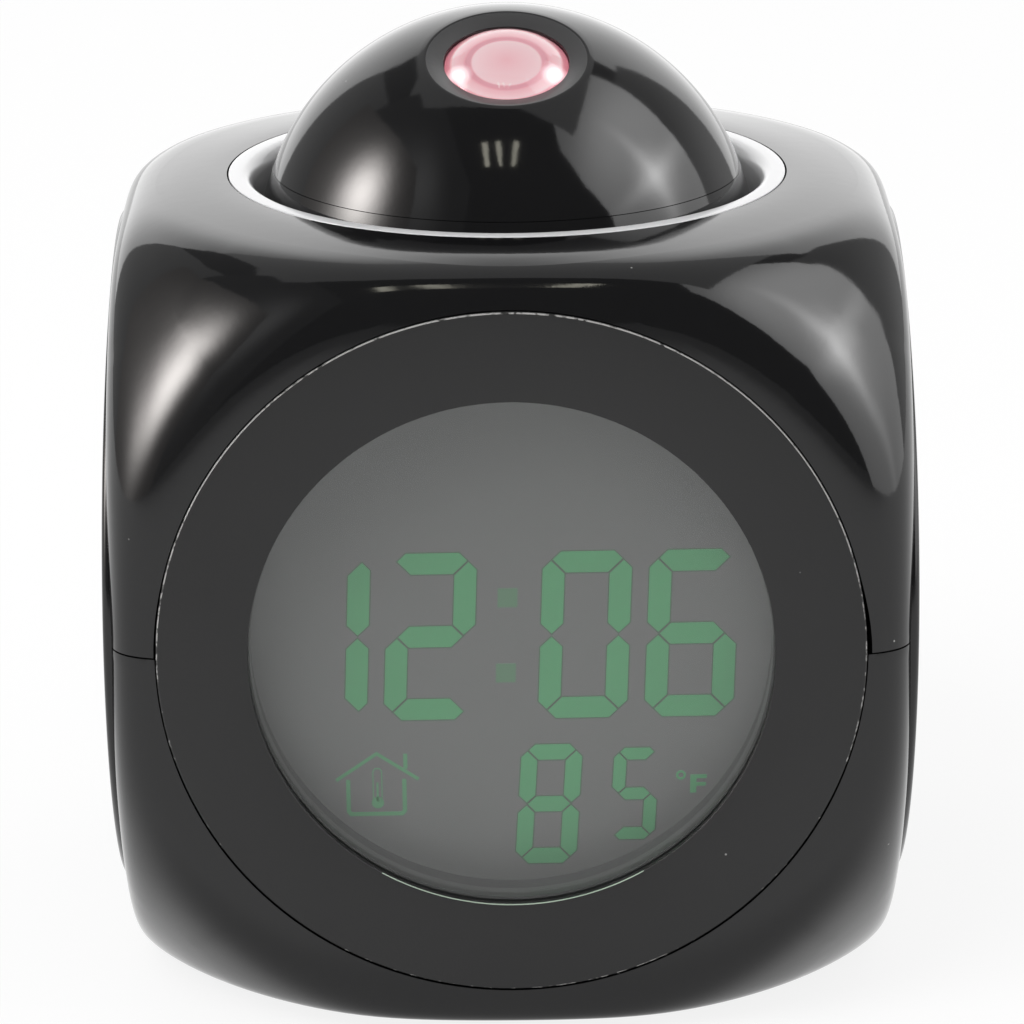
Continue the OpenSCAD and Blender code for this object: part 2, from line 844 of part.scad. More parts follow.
// The turning cap, with the countersunk lens hole and the barrel's socket
module dome_shell() {
    socket_r = barrel_r + run_gap + socket_wall;
    socket_l = 7;
    color("#161618")
    difference() {
        union() {
            intersection() {
                difference() {
                    translate([0, 0, ball_z]) sphere(r = ball_r, $fn = fine);
                    translate([0, 0, ball_z]) sphere(r = ball_in_r, $fn = fine);
                }
                translate([0, 0, cap_z]) cylinder(r = ball_r, h = ball_r);
            }
            intersection() {
                on_lens_axis(barrel_top - socket_l) cylinder(r = socket_r, h = ball_r);
                translate([0, 0, ball_z]) sphere(r = ball_r - ball_wall / 2, $fn = fine);
            }
            // the bottom ring that carries the skirt
            translate([0, 0, cap_z]) tube(ball_in_r - 0.9, swivel_r - skirt_t, skirt_t, $fn = fine);
            translate([0, 0, cap_z - skirt_l]) tube(swivel_r, swivel_r - skirt_t, skirt_l + over, $fn = fine);
        }
        on_lens_axis(barrel_top - socket_l - over) cylinder(r = barrel_r + run_gap, h = socket_l + over);
        on_lens_axis() cylinder(r = lens_hole_r, h = ball_r + over);
        on_lens_axis(rim_h - sink_t)
            cylinder(r1 = lens_hole_r, r2 = lens_hole_r + (rim_r - lens_hole_r) * (sink_t + 3) / sink_t,
                h = sink_t + 3);
    }
}

module swivel_retainer() {
    color("#3a3a3c")
    translate([0, 0, cap_z - skirt_l]) tube(retainer_r, swivel_r, retainer_t, $fn = fine);
}

module lens_barrel() {
    color("#101012")
    on_lens_axis()
        difference() {
            translate([0, 0, barrel_bottom]) cylinder(r = barrel_r, h = barrel_top - barrel_bottom);
            translate([0, 0, barrel_bottom - over]) cylinder(r = barrel_in_r, h = barrel_top);
            translate([0, 0, lens_h]) cylinder(r = lens_r + run_gap, h = barrel_top);
        }
}

// Clear lens with a domed face
module projector_lens() {
    dome_r = (pow(lens_r, 2) + pow(lens_rise, 2)) / (2 * lens_rise);
    color("#e6b8c0", 0.6)
    on_lens_axis(lens_h) {
        cylinder(r = lens_r, h = lens_edge_t);
        intersection() {
            translate([0, 0, lens_edge_t]) cylinder(r = lens_r - 0.05, h = lens_rise + over);
            translate([0, 0, lens_edge_t + lens_rise - dome_r]) sphere(r = dome_r);
        }
    }
}

module condenser_lens() {
    lens_t = 2;
    color("#dfe6e8", 0.6)
    on_lens_axis(barrel_bottom + 4.5) cylinder(r = barrel_in_r - run_gap, h = lens_t);
}

module image_film() {
    film_t = 0.6;
    color("#30343a")
    on_lens_axis(barrel_bottom + 8) cylinder(r = barrel_in_r - run_gap, h = film_t);
}

module projector_led() {
    led_r = 2.5;
    led_l = 3.4;
    color("#d03030")
    on_lens_axis(barrel_bottom) {
        cylinder(r = led_r, h = led_l - led_r / 2, $fn = coarse);
        cylinder(r = led_r - 0.4, h = led_l, $fn = coarse);
    }
}

module projector_board() {
    color("#2c5a38")
    on_lens_axis(barrel_bottom - press_board_t) cylinder(r = barrel_r, h = press_board_t);
}

// ---------- batteries ----------

module battery_box() {
    color("#232325")
    difference() {
        translate([0, 0, box_z]) block(bay_l + 2 * box_wall, bay_w + 2 * box_wall, box_top - box_z);
        translate([0, 0, box_z - over]) block(bay_l, bay_w, box_top - box_wall - box_z + over);
    }
}

module battery_contacts() {
    color("silver")
    for (sx = [-1, 1])
        for (i = [-1:1])
            translate([sx * (bay_l - contact_t) / 2, i * cell_pitch, cell_z - contact_w / 2])
                block(contact_t, contact_w, contact_w);
}

// Bowed leaf springs between the left contacts and the cells
module battery_springs() {
    bow_r = 4;
    leaf_w = 4;
    leaf_x = -bay_l / 2 + contact_t;
    leaf_h = bay_l - 2 * contact_t - cell_l - 0.1;
    color("silver")
    for (i = [-1:1])
        translate([leaf_x, i * cell_pitch - leaf_w / 2, cell_z])
            rotate([-90, 0, 0])
                linear_extrude(leaf_w)
                    intersection() {
                        translate([leaf_h - bow_r, 0]) difference() {
                            circle(r = bow_r);
                            circle(r = bow_r - contact_t);
                        }
                        translate([0, -bow_r]) square([bow_r, 2 * bow_r]);
                    }
}

// Three cells side by side, the middle one turned round
module batteries() {
    color("#5a7a8c")
    for (i = [-1:1])
        translate([contact_t + (bay_l - 2 * contact_t) / 2 - cell_l / 2 - contact_t, i * cell_pitch, cell_z])
            rotate([0, i == 0 ? -90 : 90, 0]) {
                translate([0, 0, -cell_l / 2]) cylinder(r = cell_r, h = cell_l - tip_l);
                translate([0, 0, cell_l / 2 - tip_l - 0.1]) cylinder(r = tip_r, h = tip_l + 0.1);
            }
}

module battery_door() {
    notch_r = 5;
    notch_d = 0.5;
    notch_inset = 3;
    color("#202022")
    difference() {
        translate([0, 0, mid_z - half]) block(door_l, door_w, door_t);
        // thumb dent in the outer face
        translate([door_l / 2 - notch_r - notch_inset, 0, mid_z - half - over])
            cylinder(r = notch_r, h = over + notch_d);
    }
}

upper_shell();
lower_shell();
top_ring();
front_bezel();
front_window();
display_housing();
lcd_panel();
light_guide();
backlight_leds();
zebra_strips();
main_board();
clock_chip();
temperature_sensor();
board_screws();
left_disc();
right_disc();
back_panel();
speaker();
key_board();
key_membrane();
slide_switch();
switch_knob();
alarm_key();
set_key();
up_key();
down_key();
dome_guide();
guide_screws();
press_board();
press_switch();
press_plunger();
press_collar();
dome_shell();
swivel_retainer();
lens_barrel();
projector_lens();
condenser_lens();
image_film();
projector_led();
projector_board();
battery_box();
battery_contacts();
battery_springs();
batteries();
battery_door();
feet();
case_screws();
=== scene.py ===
"""Looks of the projection alarm clock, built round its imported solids.

Sizes in the tables are millimetres and turn into metres in mesh_object(). The display looks along -Y.
"""

import json
import math

import bmesh
import bpy
import numpy as np
from mathutils import Matrix, Vector


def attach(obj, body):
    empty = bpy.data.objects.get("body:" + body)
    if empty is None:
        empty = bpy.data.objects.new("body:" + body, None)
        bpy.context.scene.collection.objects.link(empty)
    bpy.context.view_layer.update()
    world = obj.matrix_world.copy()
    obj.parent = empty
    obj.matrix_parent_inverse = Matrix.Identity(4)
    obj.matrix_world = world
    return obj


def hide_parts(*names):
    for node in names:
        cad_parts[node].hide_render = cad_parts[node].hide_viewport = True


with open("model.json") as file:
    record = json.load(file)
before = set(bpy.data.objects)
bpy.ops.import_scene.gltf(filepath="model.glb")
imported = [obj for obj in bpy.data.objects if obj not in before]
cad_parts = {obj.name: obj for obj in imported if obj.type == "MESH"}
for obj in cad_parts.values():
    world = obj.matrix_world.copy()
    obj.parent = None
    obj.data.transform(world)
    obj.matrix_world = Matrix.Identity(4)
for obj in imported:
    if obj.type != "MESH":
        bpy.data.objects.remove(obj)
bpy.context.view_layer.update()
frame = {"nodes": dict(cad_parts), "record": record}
MM = 0.001

# ---------- sizes: the solids' own, or the looks' where they differ ----------
HALF = 39.85            # half the cube's width
MID = 40.6              # height of its centre
SEAM = 40.5             # height of the parting line
SEAM_GAP = 0.09         # half the width of that line
WALL = 2.2
EDGE_ROUND = 0.14       # rounding of the shells' edges
CORNER_R = 57.1         # the ball that takes the corners off
FACE_POWER = 17.5       # how square the faces are
BASE_POWER = 40.0       # and how square they are about the base
CORNER_POWER = 59.0     # how crisply the corner ball cuts them
FULLER = 0.75           # how much fuller the sides stand above the base
CROWN = 0.45            # how far the top rises to the ring
INNER_HALF = HALF - WALL
DISC_R = 35.45
DISC_CROWN = 0.45       # how far a side disc falls back at its top and bottom
HOLE_R = 35.6
FLANGE_R = 36.25
FLANGE_IN = 36.45
DISC_BACK = 38.8        # back of a side disc's hollow
SIDE_OUT = 1.15         # how far a side disc stands out
WINDOW_R = 26.3
WINDOW_OUT_R = 27.6
LIP_T = 0.8
LCD_Y = -32.35
LCD_TURN = math.radians(0.62)    # the glass sits a little askew in its frame
TUBE_R = 26.4
BALL_Z = 72.0
BALL_R = 26.05
BALL_IN_R = 24.05
CAP_H = 9.35            # bottom of the turning cap above the ball's centre
COLLAR_H = 9.15
COLLAR_LOW = -0.2
COLLAR_FLOOR = 1.2
EAR_R = 27.5            # of the band that guides the ball
EAR_H = (2.95, 4.35)
PARTING = 0.03          # the hairline between cap and collar
SKIRT_R = 22.0          # of the cap's spigot in the collar
SKIRT_T = 1.6
SKIRT_LOW = CAP_H - 3.2
BALL_EDGE = math.sqrt(BALL_R**2 - CAP_H**2)
TILT = math.radians(22.5)
RIM_R = 8.25
RIM_H = math.sqrt(BALL_R**2 - RIM_R**2)
RIM_ROUND = 0.28
SINK_T = 0.65           # depth of the countersink round the lens
LENS_HOLE_R = 6.42
LENS_R = 6.35
LENS_TOP = 25.7         # crown of the lens
LENS_SAG = 2.0
LENS_CURVE = 3.5        # how flat the crown is before it falls to the edge
LENS_CHAMFER = 0.15
LENS_H = 23.0           # flat side of the lens along its axis
RING_R = 28.95
RING_TOP = 80.95
RING_THROAT_R = 27.6
NECK_R = 26.35
SLEEVE_R = 27.7
THROAT_DEPTH = 1.7
RING_LOW = RING_TOP - 4.4
SLEEVE_TOP = RING_TOP - 1.2
PANEL_Y = 39.05
KEY_X = (21.0, 7.0, -7.0, -21.0)
KEY_NAMES = ("alarm_key", "set_key", "up_key", "down_key")
KEY_Z = 57.6
KEY_R = 3.6
KEY_GAP = 0.3
KEY_FLANGE_R = 4.6
KEY_BACK = 35.3         # depths of a key's back and of its flange's front
KEY_SHOULDER = 36.3
KEY_STEM_R = 2.0
DISH_R = 2.6            # the dish for the fingertip
DISH_DEPTH = 0.25
SWITCH_Z = 46.6
SLOT_HALF = (4.1, 1.7)  # of the switch knob's slot
SPEAKER_Z = 27.6
GRILLE_R = 0.9
GRILLE_PITCH = 4
FOOT = (17.0, 27.5)
FOOT_R = 3.2
FOOT_H = 1.2
FOOT_SEAT_R = 3.3
POST = (32.9, 14.0)
POST_WELL_R = 2.4
BASE_Z = 0.75
BELOW = -3              # where cuts into the base start
BAY_CUT = 6             # and how far up the deep ones go
DOOR_TOP = 1.95
DOOR_HALF = (25.15, 17.3)
DOOR_SEAT_HALF = (25.45, 17.6)
BAY_HALF = (23.75, 16.1)
PANEL_CUT = (30, 45)    # depths that cuts through the back panel span


# ---------- mesh helpers ----------


def turned(points, face):
    """Turns points built along +Z so that they look out of one face of the cube, about its centre."""
    x, y, z = points[..., 0], points[..., 1], points[..., 2]
    if face == "FRONT":
        out = (x, -z, y)
    elif face == "BACK":
        out = (x, z, -y)
    elif face == "LEFT":
        out = (-z, y, x)
    elif face == "RIGHT":
        out = (z, y, -x)
    elif face == "BOTTOM":
        out = (x, -y, -z)
    else:
        out = (x, y, z)
    return np.stack(out, axis=-1) + np.array([0.0, 0.0, MID])


def outward(face):
    return lambda points: turned(points, face)


def on_lens_axis(points):
    """Turns points built along +Z about the ball's centre onto the lens's axis."""
    x, y, z = points[..., 0], points[..., 1], points[..., 2]
    c, s = math.cos(TILT), math.sin(TILT)
    return np.stack((x, c * y - s * z, s * y + c * z), axis=-1) + np.array([0.0, 0.0, BALL_Z])


def on_ball(points):
    return points + np.array([0.0, 0.0, BALL_Z])


def upright(points):
    return points


def off_lens_axis(face):
    """How far along the lens's axis a face lies, from the ball's centre, and how far off that axis."""
    c = face.center / MM - Vector((0, 0, BALL_Z))
    along = c.dot(Vector((0, -math.sin(TILT), math.cos(TILT))))
    return along, math.sqrt(max(0.0, c.dot(c) - along**2))


def eased(t):
    """A soft step from 0 to 1."""
    t = np.clip(t, 0.0, 1.0)
    return t * t * (3 - 2 * t)


def mesh_object(name, verts, faces, body, material, smooth_angle=35.0, replaces=(), slot=None):
    """Makes a piece from points in millimetres and lets it ride on a body."""
    mesh = bpy.data.meshes.new(name)
    mesh.from_pydata([tuple(v) for v in np.asarray(verts, float) * MM], [], faces)
    bm = bmesh.new()
    bm.from_mesh(mesh)
    bmesh.ops.remove_doubles(bm, verts=bm.verts, dist=2e-6)
    bmesh.ops.dissolve_degenerate(bm, edges=bm.edges, dist=1e-7)
    bmesh.ops.recalc_face_normals(bm, faces=bm.faces)
    bm.to_mesh(mesh)
    bm.free()
    mesh.shade_smooth()
    if smooth_angle:
        mesh.set_sharp_from_angle(angle=math.radians(smooth_angle))
    obj = bpy.data.objects.new(name, mesh)
    bpy.context.scene.collection.objects.link(obj)
    mesh.materials.append(material)
    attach(obj, body)
    if replaces:
        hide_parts(*replaces)
    return obj


def visual(solid, part, body, slot, smooth_angle=35.0):
    """The visible piece that takes the place of one solid."""
    name = "visual_" + solid
    return mesh_object(name, *part, body, MATS[slot], smooth_angle, replaces=(solid,), slot=slot)


def rows_mesh(rows, closed=False):
    """Joins rows of points, each a closed loop of the same length, into quads."""
    count = len(rows[0])
    verts = np.concatenate(rows)
    faces = []
    last = len(rows) if closed else len(rows) - 1
    for i in range(last):
        a, b = i * count, ((i + 1) % len(rows)) * count
        for k in range(count):
            n = (k + 1) % count
            faces.append((a + k, a + n, b + n, b + k))
    return verts, faces


def arc(cx, cy, r, a0, a1, n):
    """Points on a circle in a profile, from angle a0 to a1 in degrees."""
    return [
        (cx + r * math.cos(math.radians(t)), cy + r * math.sin(math.radians(t)))
        for t in np.linspace(a0, a1, n)
    ]


def filleted(corners, steps=4):
    """Rounds a closed profile; each corner is (r, h) or (r, h, radius)."""
    out = []
    count = len(corners)
    for i, corner in enumerate(corners):
        p = np.array(corner[:2], float)
        radius = corner[2] if len(corner) > 2 else 0.0
        if not radius:
            out.append(tuple(p))
            continue
        before = np.array(corners[i - 1][:2], float) - p
        after = np.array(corners[(i + 1) % count][:2], float) - p
        u, v = before / np.linalg.norm(before), after / np.linalg.norm(after)
        angle = math.acos(max(-1.0, min(1.0, float(u @ v))))
        reach = radius / math.tan(angle / 2)
        centre = p + (u + v) / np.linalg.norm(u + v) * radius / math.sin(angle / 2)
        a, b = p + u * reach - centre, p + v * reach - centre
        for t in np.linspace(0, 1, steps + 1):
            d = a * (1 - t) + b * t
            out.append(tuple(centre + d / np.linalg.norm(d) * radius))
    return out


def lathe(profile, place, segments=160, closed=True):
    """Turns a profile of (r, h) round +Z; place moves the points where they belong."""
    a = np.linspace(0, 2 * math.pi, segments, endpoint=False)
    rows = []
    for r, h in profile:
        rows.append(place(np.stack((r * np.cos(a), r * np.sin(a), np.full_like(a, h)), axis=-1)))
    return rows_mesh(rows, closed)


def prism(outline, y0, y1):
    """A closed prism over an outline in (x, z), between two depths."""
    n = len(outline)
    verts = [(x, y0, z) for x, z in outline] + [(x, y1, z) for x, z in outline]
    faces = [tuple(range(n)), tuple(range(2 * n - 1, n - 1, -1))]
    faces += [(i, (i + 1) % n, n + (i + 1) % n, n + i) for i in range(n)]
    return verts, faces


def joined(parts):
    verts, faces = [], []
    for v, f in parts:
        base = len(verts)
        verts.extend(tuple(p) for p in v)
        faces.extend(tuple(base + i for i in face) for face in f)
    return verts, faces


# ---------- materials ----------


def feed(tree, socket, value):
    """Sets an input, or links it where the value is another node's output."""
    if isinstance(value, bpy.types.NodeSocket):
        tree.links.new(value, socket)
    else:
        socket.default_value = value


def node(tree, kind, **inputs):
    n = tree.nodes.new(kind)
    for key, value in inputs.items():
        feed(tree, n.inputs[key.replace("_", " ")], value)
    return n


def maths(tree, operation, *values, kind="ShaderNodeMath"):
    n = tree.nodes.new(kind)
    n.operation = operation
    for socket, value in zip(n.inputs, values):
        feed(tree, socket, value)
    return n.outputs["Value"]


def ranged(tree, value, low, high, to_low=0.0, to_high=1.0, soft=False):
    """Maps one range onto another."""
    n = node(tree, "ShaderNodeMapRange", Value=value, From_Min=low, From_Max=high, To_Min=to_low, To_Max=to_high)
    if soft:
        n.interpolation_type = "SMOOTHSTEP"
    return n.outputs["Result"]


def mixed(tree, factor, a, b, data_type="RGBA"):
    n = tree.nodes.new("ShaderNodeMix")
    n.data_type = data_type
    for key, value in (("Factor", factor), ("A", a), ("B", b)):
        feed(tree, n.inputs[key], value)
    return n.outputs["Result"]


def mixed_shaders(tree, factor, a, b):
    n = tree.nodes.new("ShaderNodeMixShader")
    for socket, value in zip(n.inputs, (factor, a, b)):
        feed(tree, socket, value)
    return n.outputs["Shader"]


def noise(tree, where, scale, detail, roughness=0.5):
    n = node(tree, "ShaderNodeTexNoise", Vector=where, Scale=scale, Detail=detail, Roughness=roughness)
    return n.outputs["Fac"]


def about(tree, where, location, scale):
    """Coordinates about a place, in units of a size along each axis."""
    n = tree.nodes.new("ShaderNodeMapping")
    n.vector_type = "TEXTURE"
    for key, value in (("Vector", where), ("Location", location), ("Scale", scale)):
        feed(tree, n.inputs[key], value)
    return n.outputs["Vector"]


def new_material(name):
    """An empty material, its tree and the input that its shader goes to."""
    mat = bpy.data.materials.new(name)
    mat.use_nodes = True
    tree = mat.node_tree
    tree.nodes.clear()
    return mat, tree, tree.nodes.new("ShaderNodeOutputMaterial").inputs["Surface"]


def material(name, color, rough, rough_spread=0.0, metallic=0.0, coat=0.0, ior=1.5, grain=(900.0, 0.02),
             tint=0.0, specks=0.0, transmission=0.0, emission=None):
    """Moulded plastic, metal or glass: an uneven roughness, a fine relief, and dust where asked."""
    mat, tree, surface = new_material(name)
    bsdf = node(
        tree, "ShaderNodeBsdfPrincipled", Roughness=rough, Metallic=metallic, IOR=ior,
        Coat_Weight=coat, Coat_Roughness=0.04, Transmission_Weight=transmission,
    )
    feed(tree, surface, bsdf.outputs["BSDF"])
    if emission:
        feed(tree, bsdf.inputs["Emission Color"], (*emission[:3], 1))
        feed(tree, bsdf.inputs["Emission Strength"], emission[3])
    where = tree.nodes.new("ShaderNodeTexCoord").outputs["Object"]
    relief = noise(tree, where, grain[0], 4.0, 0.55)
    bump = node(tree, "ShaderNodeBump", Strength=grain[1], Distance=0.0002, Height=relief)
    feed(tree, bsdf.inputs["Normal"], bump.outputs["Normal"])
    cloud = noise(tree, where, 60.0, 3.0, 0.6)
    if rough_spread:
        low, high = max(0.0, rough - rough_spread), rough + rough_spread
        feed(tree, bsdf.inputs["Roughness"], ranged(tree, cloud, 0.3, 0.7, low, high))
    shown = (*color, 1)
    if tint:
        darker = (*[c * (1 - tint) for c in color], 1)
        paler = (*[min(1, c * (1 + tint)) for c in color], 1)
        shown = mixed(tree, cloud, darker, paler)
    if specks:
        cells = node(tree, "ShaderNodeTexVoronoi", Vector=where, Scale=420.0, Randomness=1.0)
        near = ranged(tree, cells.outputs["Distance"], 0.055, 0.03)
        pick = node(tree, "ShaderNodeSeparateColor", Color=cells.outputs["Color"])
        few = maths(tree, "LESS_THAN", pick.outputs["Red"], 0.07)
        much = maths(tree, "MULTIPLY", maths(tree, "MULTIPLY", near, few), specks)
        shown = mixed(tree, much, shown, (0.5, 0.5, 0.48, 1))
    feed(tree, bsdf.inputs["Base Color"], shown)
    if transmission:
        # light passes to what lies behind without a shadow of the glass itself
        path = tree.nodes.new("ShaderNodeLightPath")
        clear = node(tree, "ShaderNodeBsdfTransparent", Color=(*[c**0.5 for c in color], 1))
        shader = mixed_shaders(tree, path.outputs["Is Shadow Ray"], bsdf.outputs["BSDF"], clear.outputs["BSDF"])
        feed(tree, surface, shader)
    return mat


GLOSS = dict(grain=(500.0, 0.035), tint=0.15, specks=0.8)
LOOKS = {
    # slot: colour, roughness, its spread, and what else differs
    "shell_black": ((0.0055, 0.0055, 0.006), 0.075, 0.02, GLOSS),
    "dome_black": ((0.005, 0.005, 0.0055), 0.075, 0.02, GLOSS),
    "disc_black": ((0.006, 0.006, 0.0065), 0.075, 0.02, GLOSS),
    "ring_white": ((0.84, 0.84, 0.85), 0.16, 0.04, dict(grain=(700.0, 0.03), tint=0.02)),
    "bezel_black": ((0.0138, 0.0138, 0.0142), 0.5, 0.05, dict(grain=(2600.0, 0.08), tint=0.05, specks=0.7)),
    "window_clear": ((0.97, 0.985, 0.975), 0.02, 0.0, dict(ior=1.45, grain=(300.0, 0.0), transmission=1.0)),
    "housing_grey": ((0.062, 0.062, 0.063), 0.55, 0.06, dict(grain=(2200.0, 0.15), tint=0.08)),
    "liner_grey": ((0.082, 0.084, 0.082), 0.5, 0.06, dict(grain=(2200.0, 0.1), tint=0.06)),
    # painted shade for the deeper part of the display's well
    "gasket_dark": ((0.052, 0.052, 0.053), 0.6, 0.06, dict(grain=(2200.0, 0.2), tint=0.08)),
    "display_glass": ((0.180, 0.180, 0.181), 0.38, 0.0, dict(grain=(1800.0, 0.0), tint=0.03, specks=0.6)),
    "light_guide_white": ((0.78, 0.80, 0.76), 0.4, 0.05, dict(grain=(1500.0, 0.05), tint=0.04)),
    "led_green": ((0.25, 0.62, 0.34), 0.3, 0.05, dict(tint=0.08, emission=(0.2, 1.0, 0.4, 0.6))),
    "contact_rubber": ((0.16, 0.16, 0.155), 0.7, 0.06, dict(grain=(3000.0, 0.2), tint=0.1)),
    "board_green": ((0.02, 0.10, 0.04), 0.35, 0.06, dict(grain=(1200.0, 0.12), tint=0.2, coat=0.3)),
    "chip_black": ((0.012, 0.012, 0.012), 0.3, 0.06, dict(grain=(900.0, 0.1), tint=0.2)),
    "sensor_brown": ((0.14, 0.035, 0.012), 0.35, 0.05, dict(tint=0.2)),
    "screw_steel": ((0.46, 0.46, 0.47), 0.28, 0.08, dict(metallic=1.0, grain=(3000.0, 0.15), tint=0.08)),
    "panel_black": ((0.012, 0.012, 0.0125), 0.36, 0.06, dict(grain=(2600.0, 0.22), tint=0.1, specks=0.6)),
    "speaker_metal": ((0.10, 0.10, 0.105), 0.45, 0.08, dict(metallic=0.6, grain=(2600.0, 0.2), tint=0.1)),
    "key_black": ((0.016, 0.016, 0.0165), 0.42, 0.05, dict(grain=(2600.0, 0.2), tint=0.1, specks=0.5)),
    "inner_black": ((0.012, 0.012, 0.012), 0.45, 0.06, dict(grain=(2200.0, 0.2), tint=0.15)),
    "lens_pink": ((0.985, 0.92, 0.93), 0.015, 0.01, dict(grain=(300.0, 0.008), transmission=1.0)),
    "lens_clear": ((0.95, 0.96, 0.96), 0.02, 0.01, dict(grain=(300.0, 0.01), transmission=1.0)),
    "film_dark": ((0.03, 0.032, 0.036), 0.25, 0.05, dict(tint=0.2)),
    "led_red": ((0.55, 0.04, 0.04), 0.2, 0.05, dict(tint=0.1)),
    "spring_steel": ((0.55, 0.53, 0.48), 0.3, 0.08, dict(metallic=1.0, grain=(2600.0, 0.15), tint=0.08)),
    "cell_wrap": ((0.05, 0.11, 0.17), 0.3, 0.05, dict(grain=(1200.0, 0.05), tint=0.15, coat=0.3)),
    "foot_rubber": ((0.022, 0.022, 0.022), 0.75, 0.06, dict(grain=(3400.0, 0.35), tint=0.15)),
    "lcd_green": ((0.10, 0.405, 0.178), 0.38, 0.0, dict(grain=(1800.0, 0.0), tint=0.08)),
    "lcd_line": ((0.09, 0.15, 0.105), 0.4, 0.0, dict(grain=(1800.0, 0.0), tint=0.08)),
    "lcd_thin": ((0.112, 0.36, 0.175), 0.4, 0.0, dict(grain=(1800.0, 0.0), tint=0.08)),
    "lcd_faint": ((0.128, 0.262, 0.158), 0.4, 0.04, dict(grain=(1800.0, 0.0), tint=0.05)),
    # the pink and rose emission below is painted light from the projector's lit LED, on parts that are no lamp
    "reflector_pink": (
        (0.95, 0.68, 0.71), 0.2, 0.05, dict(grain=(600.0, 0.05), tint=0.06, emission=(1.0, 0.55, 0.6, 0.28)),
    ),
    "reflector_rose": (
        (0.85, 0.36, 0.43), 0.3, 0.05, dict(grain=(600.0, 0.05), tint=0.08, emission=(1.0, 0.32, 0.4, 0.16)),
    ),
    "dome_satin": ((0.038, 0.038, 0.039), 0.3, 0.04, dict(grain=(2200.0, 0.05), tint=0.08, specks=0.5)),
    # painted highlight: pale green, for the window's lower edge
    "edge_light": ((0.42, 0.52, 0.42), 0.3, 0.05, dict(grain=(2200.0, 0.05), tint=0.25)),
}
MATS = {name: material(name, color, rough, spread, **more) for name, (color, rough, spread, more) in LOOKS.items()}


def parts_of(mat):
    """A material's tree, its shader and the coordinates that its patterns use."""
    nodes = mat.node_tree.nodes
    where = next(n for n in nodes if n.type == "TEX_COORD").outputs["Object"]
    return mat.node_tree, next(n for n in nodes if n.type == "BSDF_PRINCIPLED"), where


def edge_dust():
    """Pale moulding dust in the disc's edge, with a painted highlight that makes it nearly whole above and broken
    below.
    """
    mat = material("edge_dust", (0.02, 0.02, 0.02), 0.4)
    tree, bsdf, where = parts_of(mat)
    grit = noise(tree, where, 1100.0, 2.0, 0.7)
    patch = noise(tree, where, 70.0, 1.0)
    height = node(tree, "ShaderNodeSeparateXYZ", Vector=where).outputs["Z"]
    # brighter towards the top: a painted highlight where the edge faces the light above; the noise is the dust
    highlight_above = ranged(tree, height, 0.036, 0.058, -0.10, 0.16)
    total = maths(tree, "ADD", grit, maths(tree, "MULTIPLY_ADD", patch, 0.5, highlight_above))
    bare, dust_and_highlight_color = (0.012, 0.012, 0.012, 1), (0.40, 0.395, 0.385, 1)
    feed(tree, bsdf.inputs["Base Color"], mixed(tree, ranged(tree, total, 0.72, 0.84), bare, dust_and_highlight_color))
    return mat


def lens_rings():
    """The flat side of the lens: the tube's steps off centre, as the lens shows them, two painted white highlights,
    and a painted pink glow.
    """
    mat = material("lens_rings", (0.95, 0.72, 0.75), 0.25, emission=(1.0, 0.64, 0.68, 0.3))
    tree, bsdf, where = parts_of(mat)
    reach_mm = 8

    def away(u, v):
        centre = on_lens_axis(np.array([[u, v, LENS_H]]))[0]
        return maths(tree, "DISTANCE", where, [float(c) * MM for c in centre], kind="ShaderNodeVectorMath")

    def band(value, stops):
        ramp = node(tree, "ShaderNodeValToRGB", Fac=maths(tree, "MULTIPLY", value, 1 / (reach_mm * MM)))
        elements = ramp.color_ramp.elements
        while len(elements) < len(stops):
            elements.new(1.0)
        for stop, (r, color) in zip(elements, stops):
            stop.position = r / reach_mm
            stop.color = (*color, 1)
        return ramp.outputs["Color"]

    pale, pink, rose, deep = (0.97, 0.76, 0.78), (0.92, 0.60, 0.64), (0.78, 0.42, 0.48), (0.70, 0.30, 0.36)
    rings = ((0, pink), (2.9, pale), (3.15, pale), (3.3, rose), (3.7, rose), (3.95, pink), (5.0, pale), (5.35, deep))
    color = band(away(0, 0.1), rings)
    # painted highlights: two white spots low on the left and right
    white, none = (1.0, 1.0, 1.0), (0.0, 0.0, 0.0)
    spot = ((0, white), (0.3, white), (1.5, none))
    painted_gleam = maths(tree, "MAXIMUM", *[band(away(x, -1.3), spot) for x in (-4.5, 4.5)])
    color = mixed(tree, painted_gleam, color, (1, 1, 1, 1))
    feed(tree, bsdf.inputs["Base Color"], color)
    # the glow is painted light, stronger in the painted highlights
    feed(tree, bsdf.inputs["Emission Color"], color)
    feed(tree, bsdf.inputs["Emission Strength"], maths(tree, "MULTIPLY_ADD", painted_gleam, 0.6, 0.3))
    return mat


MATS["lens_rings"] = lens_rings()
MATS["edge_dust"] = edge_dust()
for slot_row in frame["record"]["subparts"]:
    cad = frame["nodes"].get(slot_row["node"])
    if cad is not None and slot_row["material_slot"] in MATS:
        cad.data.materials.clear()
        cad.data.materials.append(MATS[slot_row["material_slot"]])

# ---------- shells ----------


def reach(d, low):
    """Distance from the cube's centre to its surface along d, where low is how steeply d points down."""
    power = FACE_POWER + (BASE_POWER - FACE_POWER) * eased((low - 0.35) / 0.3)[..., None]
    near, far = np.full(d.shape[:-1], 0.8 * HALF), np.full(d.shape[:-1], 1.6 * HALF)
    for _ in range(36):
        mid = (near + far) / 2
        p = np.abs(d) * mid[..., None]
        out = ((p / HALF) ** power).sum(-1) + (mid / CORNER_R) ** CORNER_POWER > 1
        far, near = np.where(out, mid, far), np.where(out, near, mid)
    return near


def down(d, face):
    """How steeply a direction points down, once it is turned to its face."""
    return MID - turned(d, face)[..., 2]


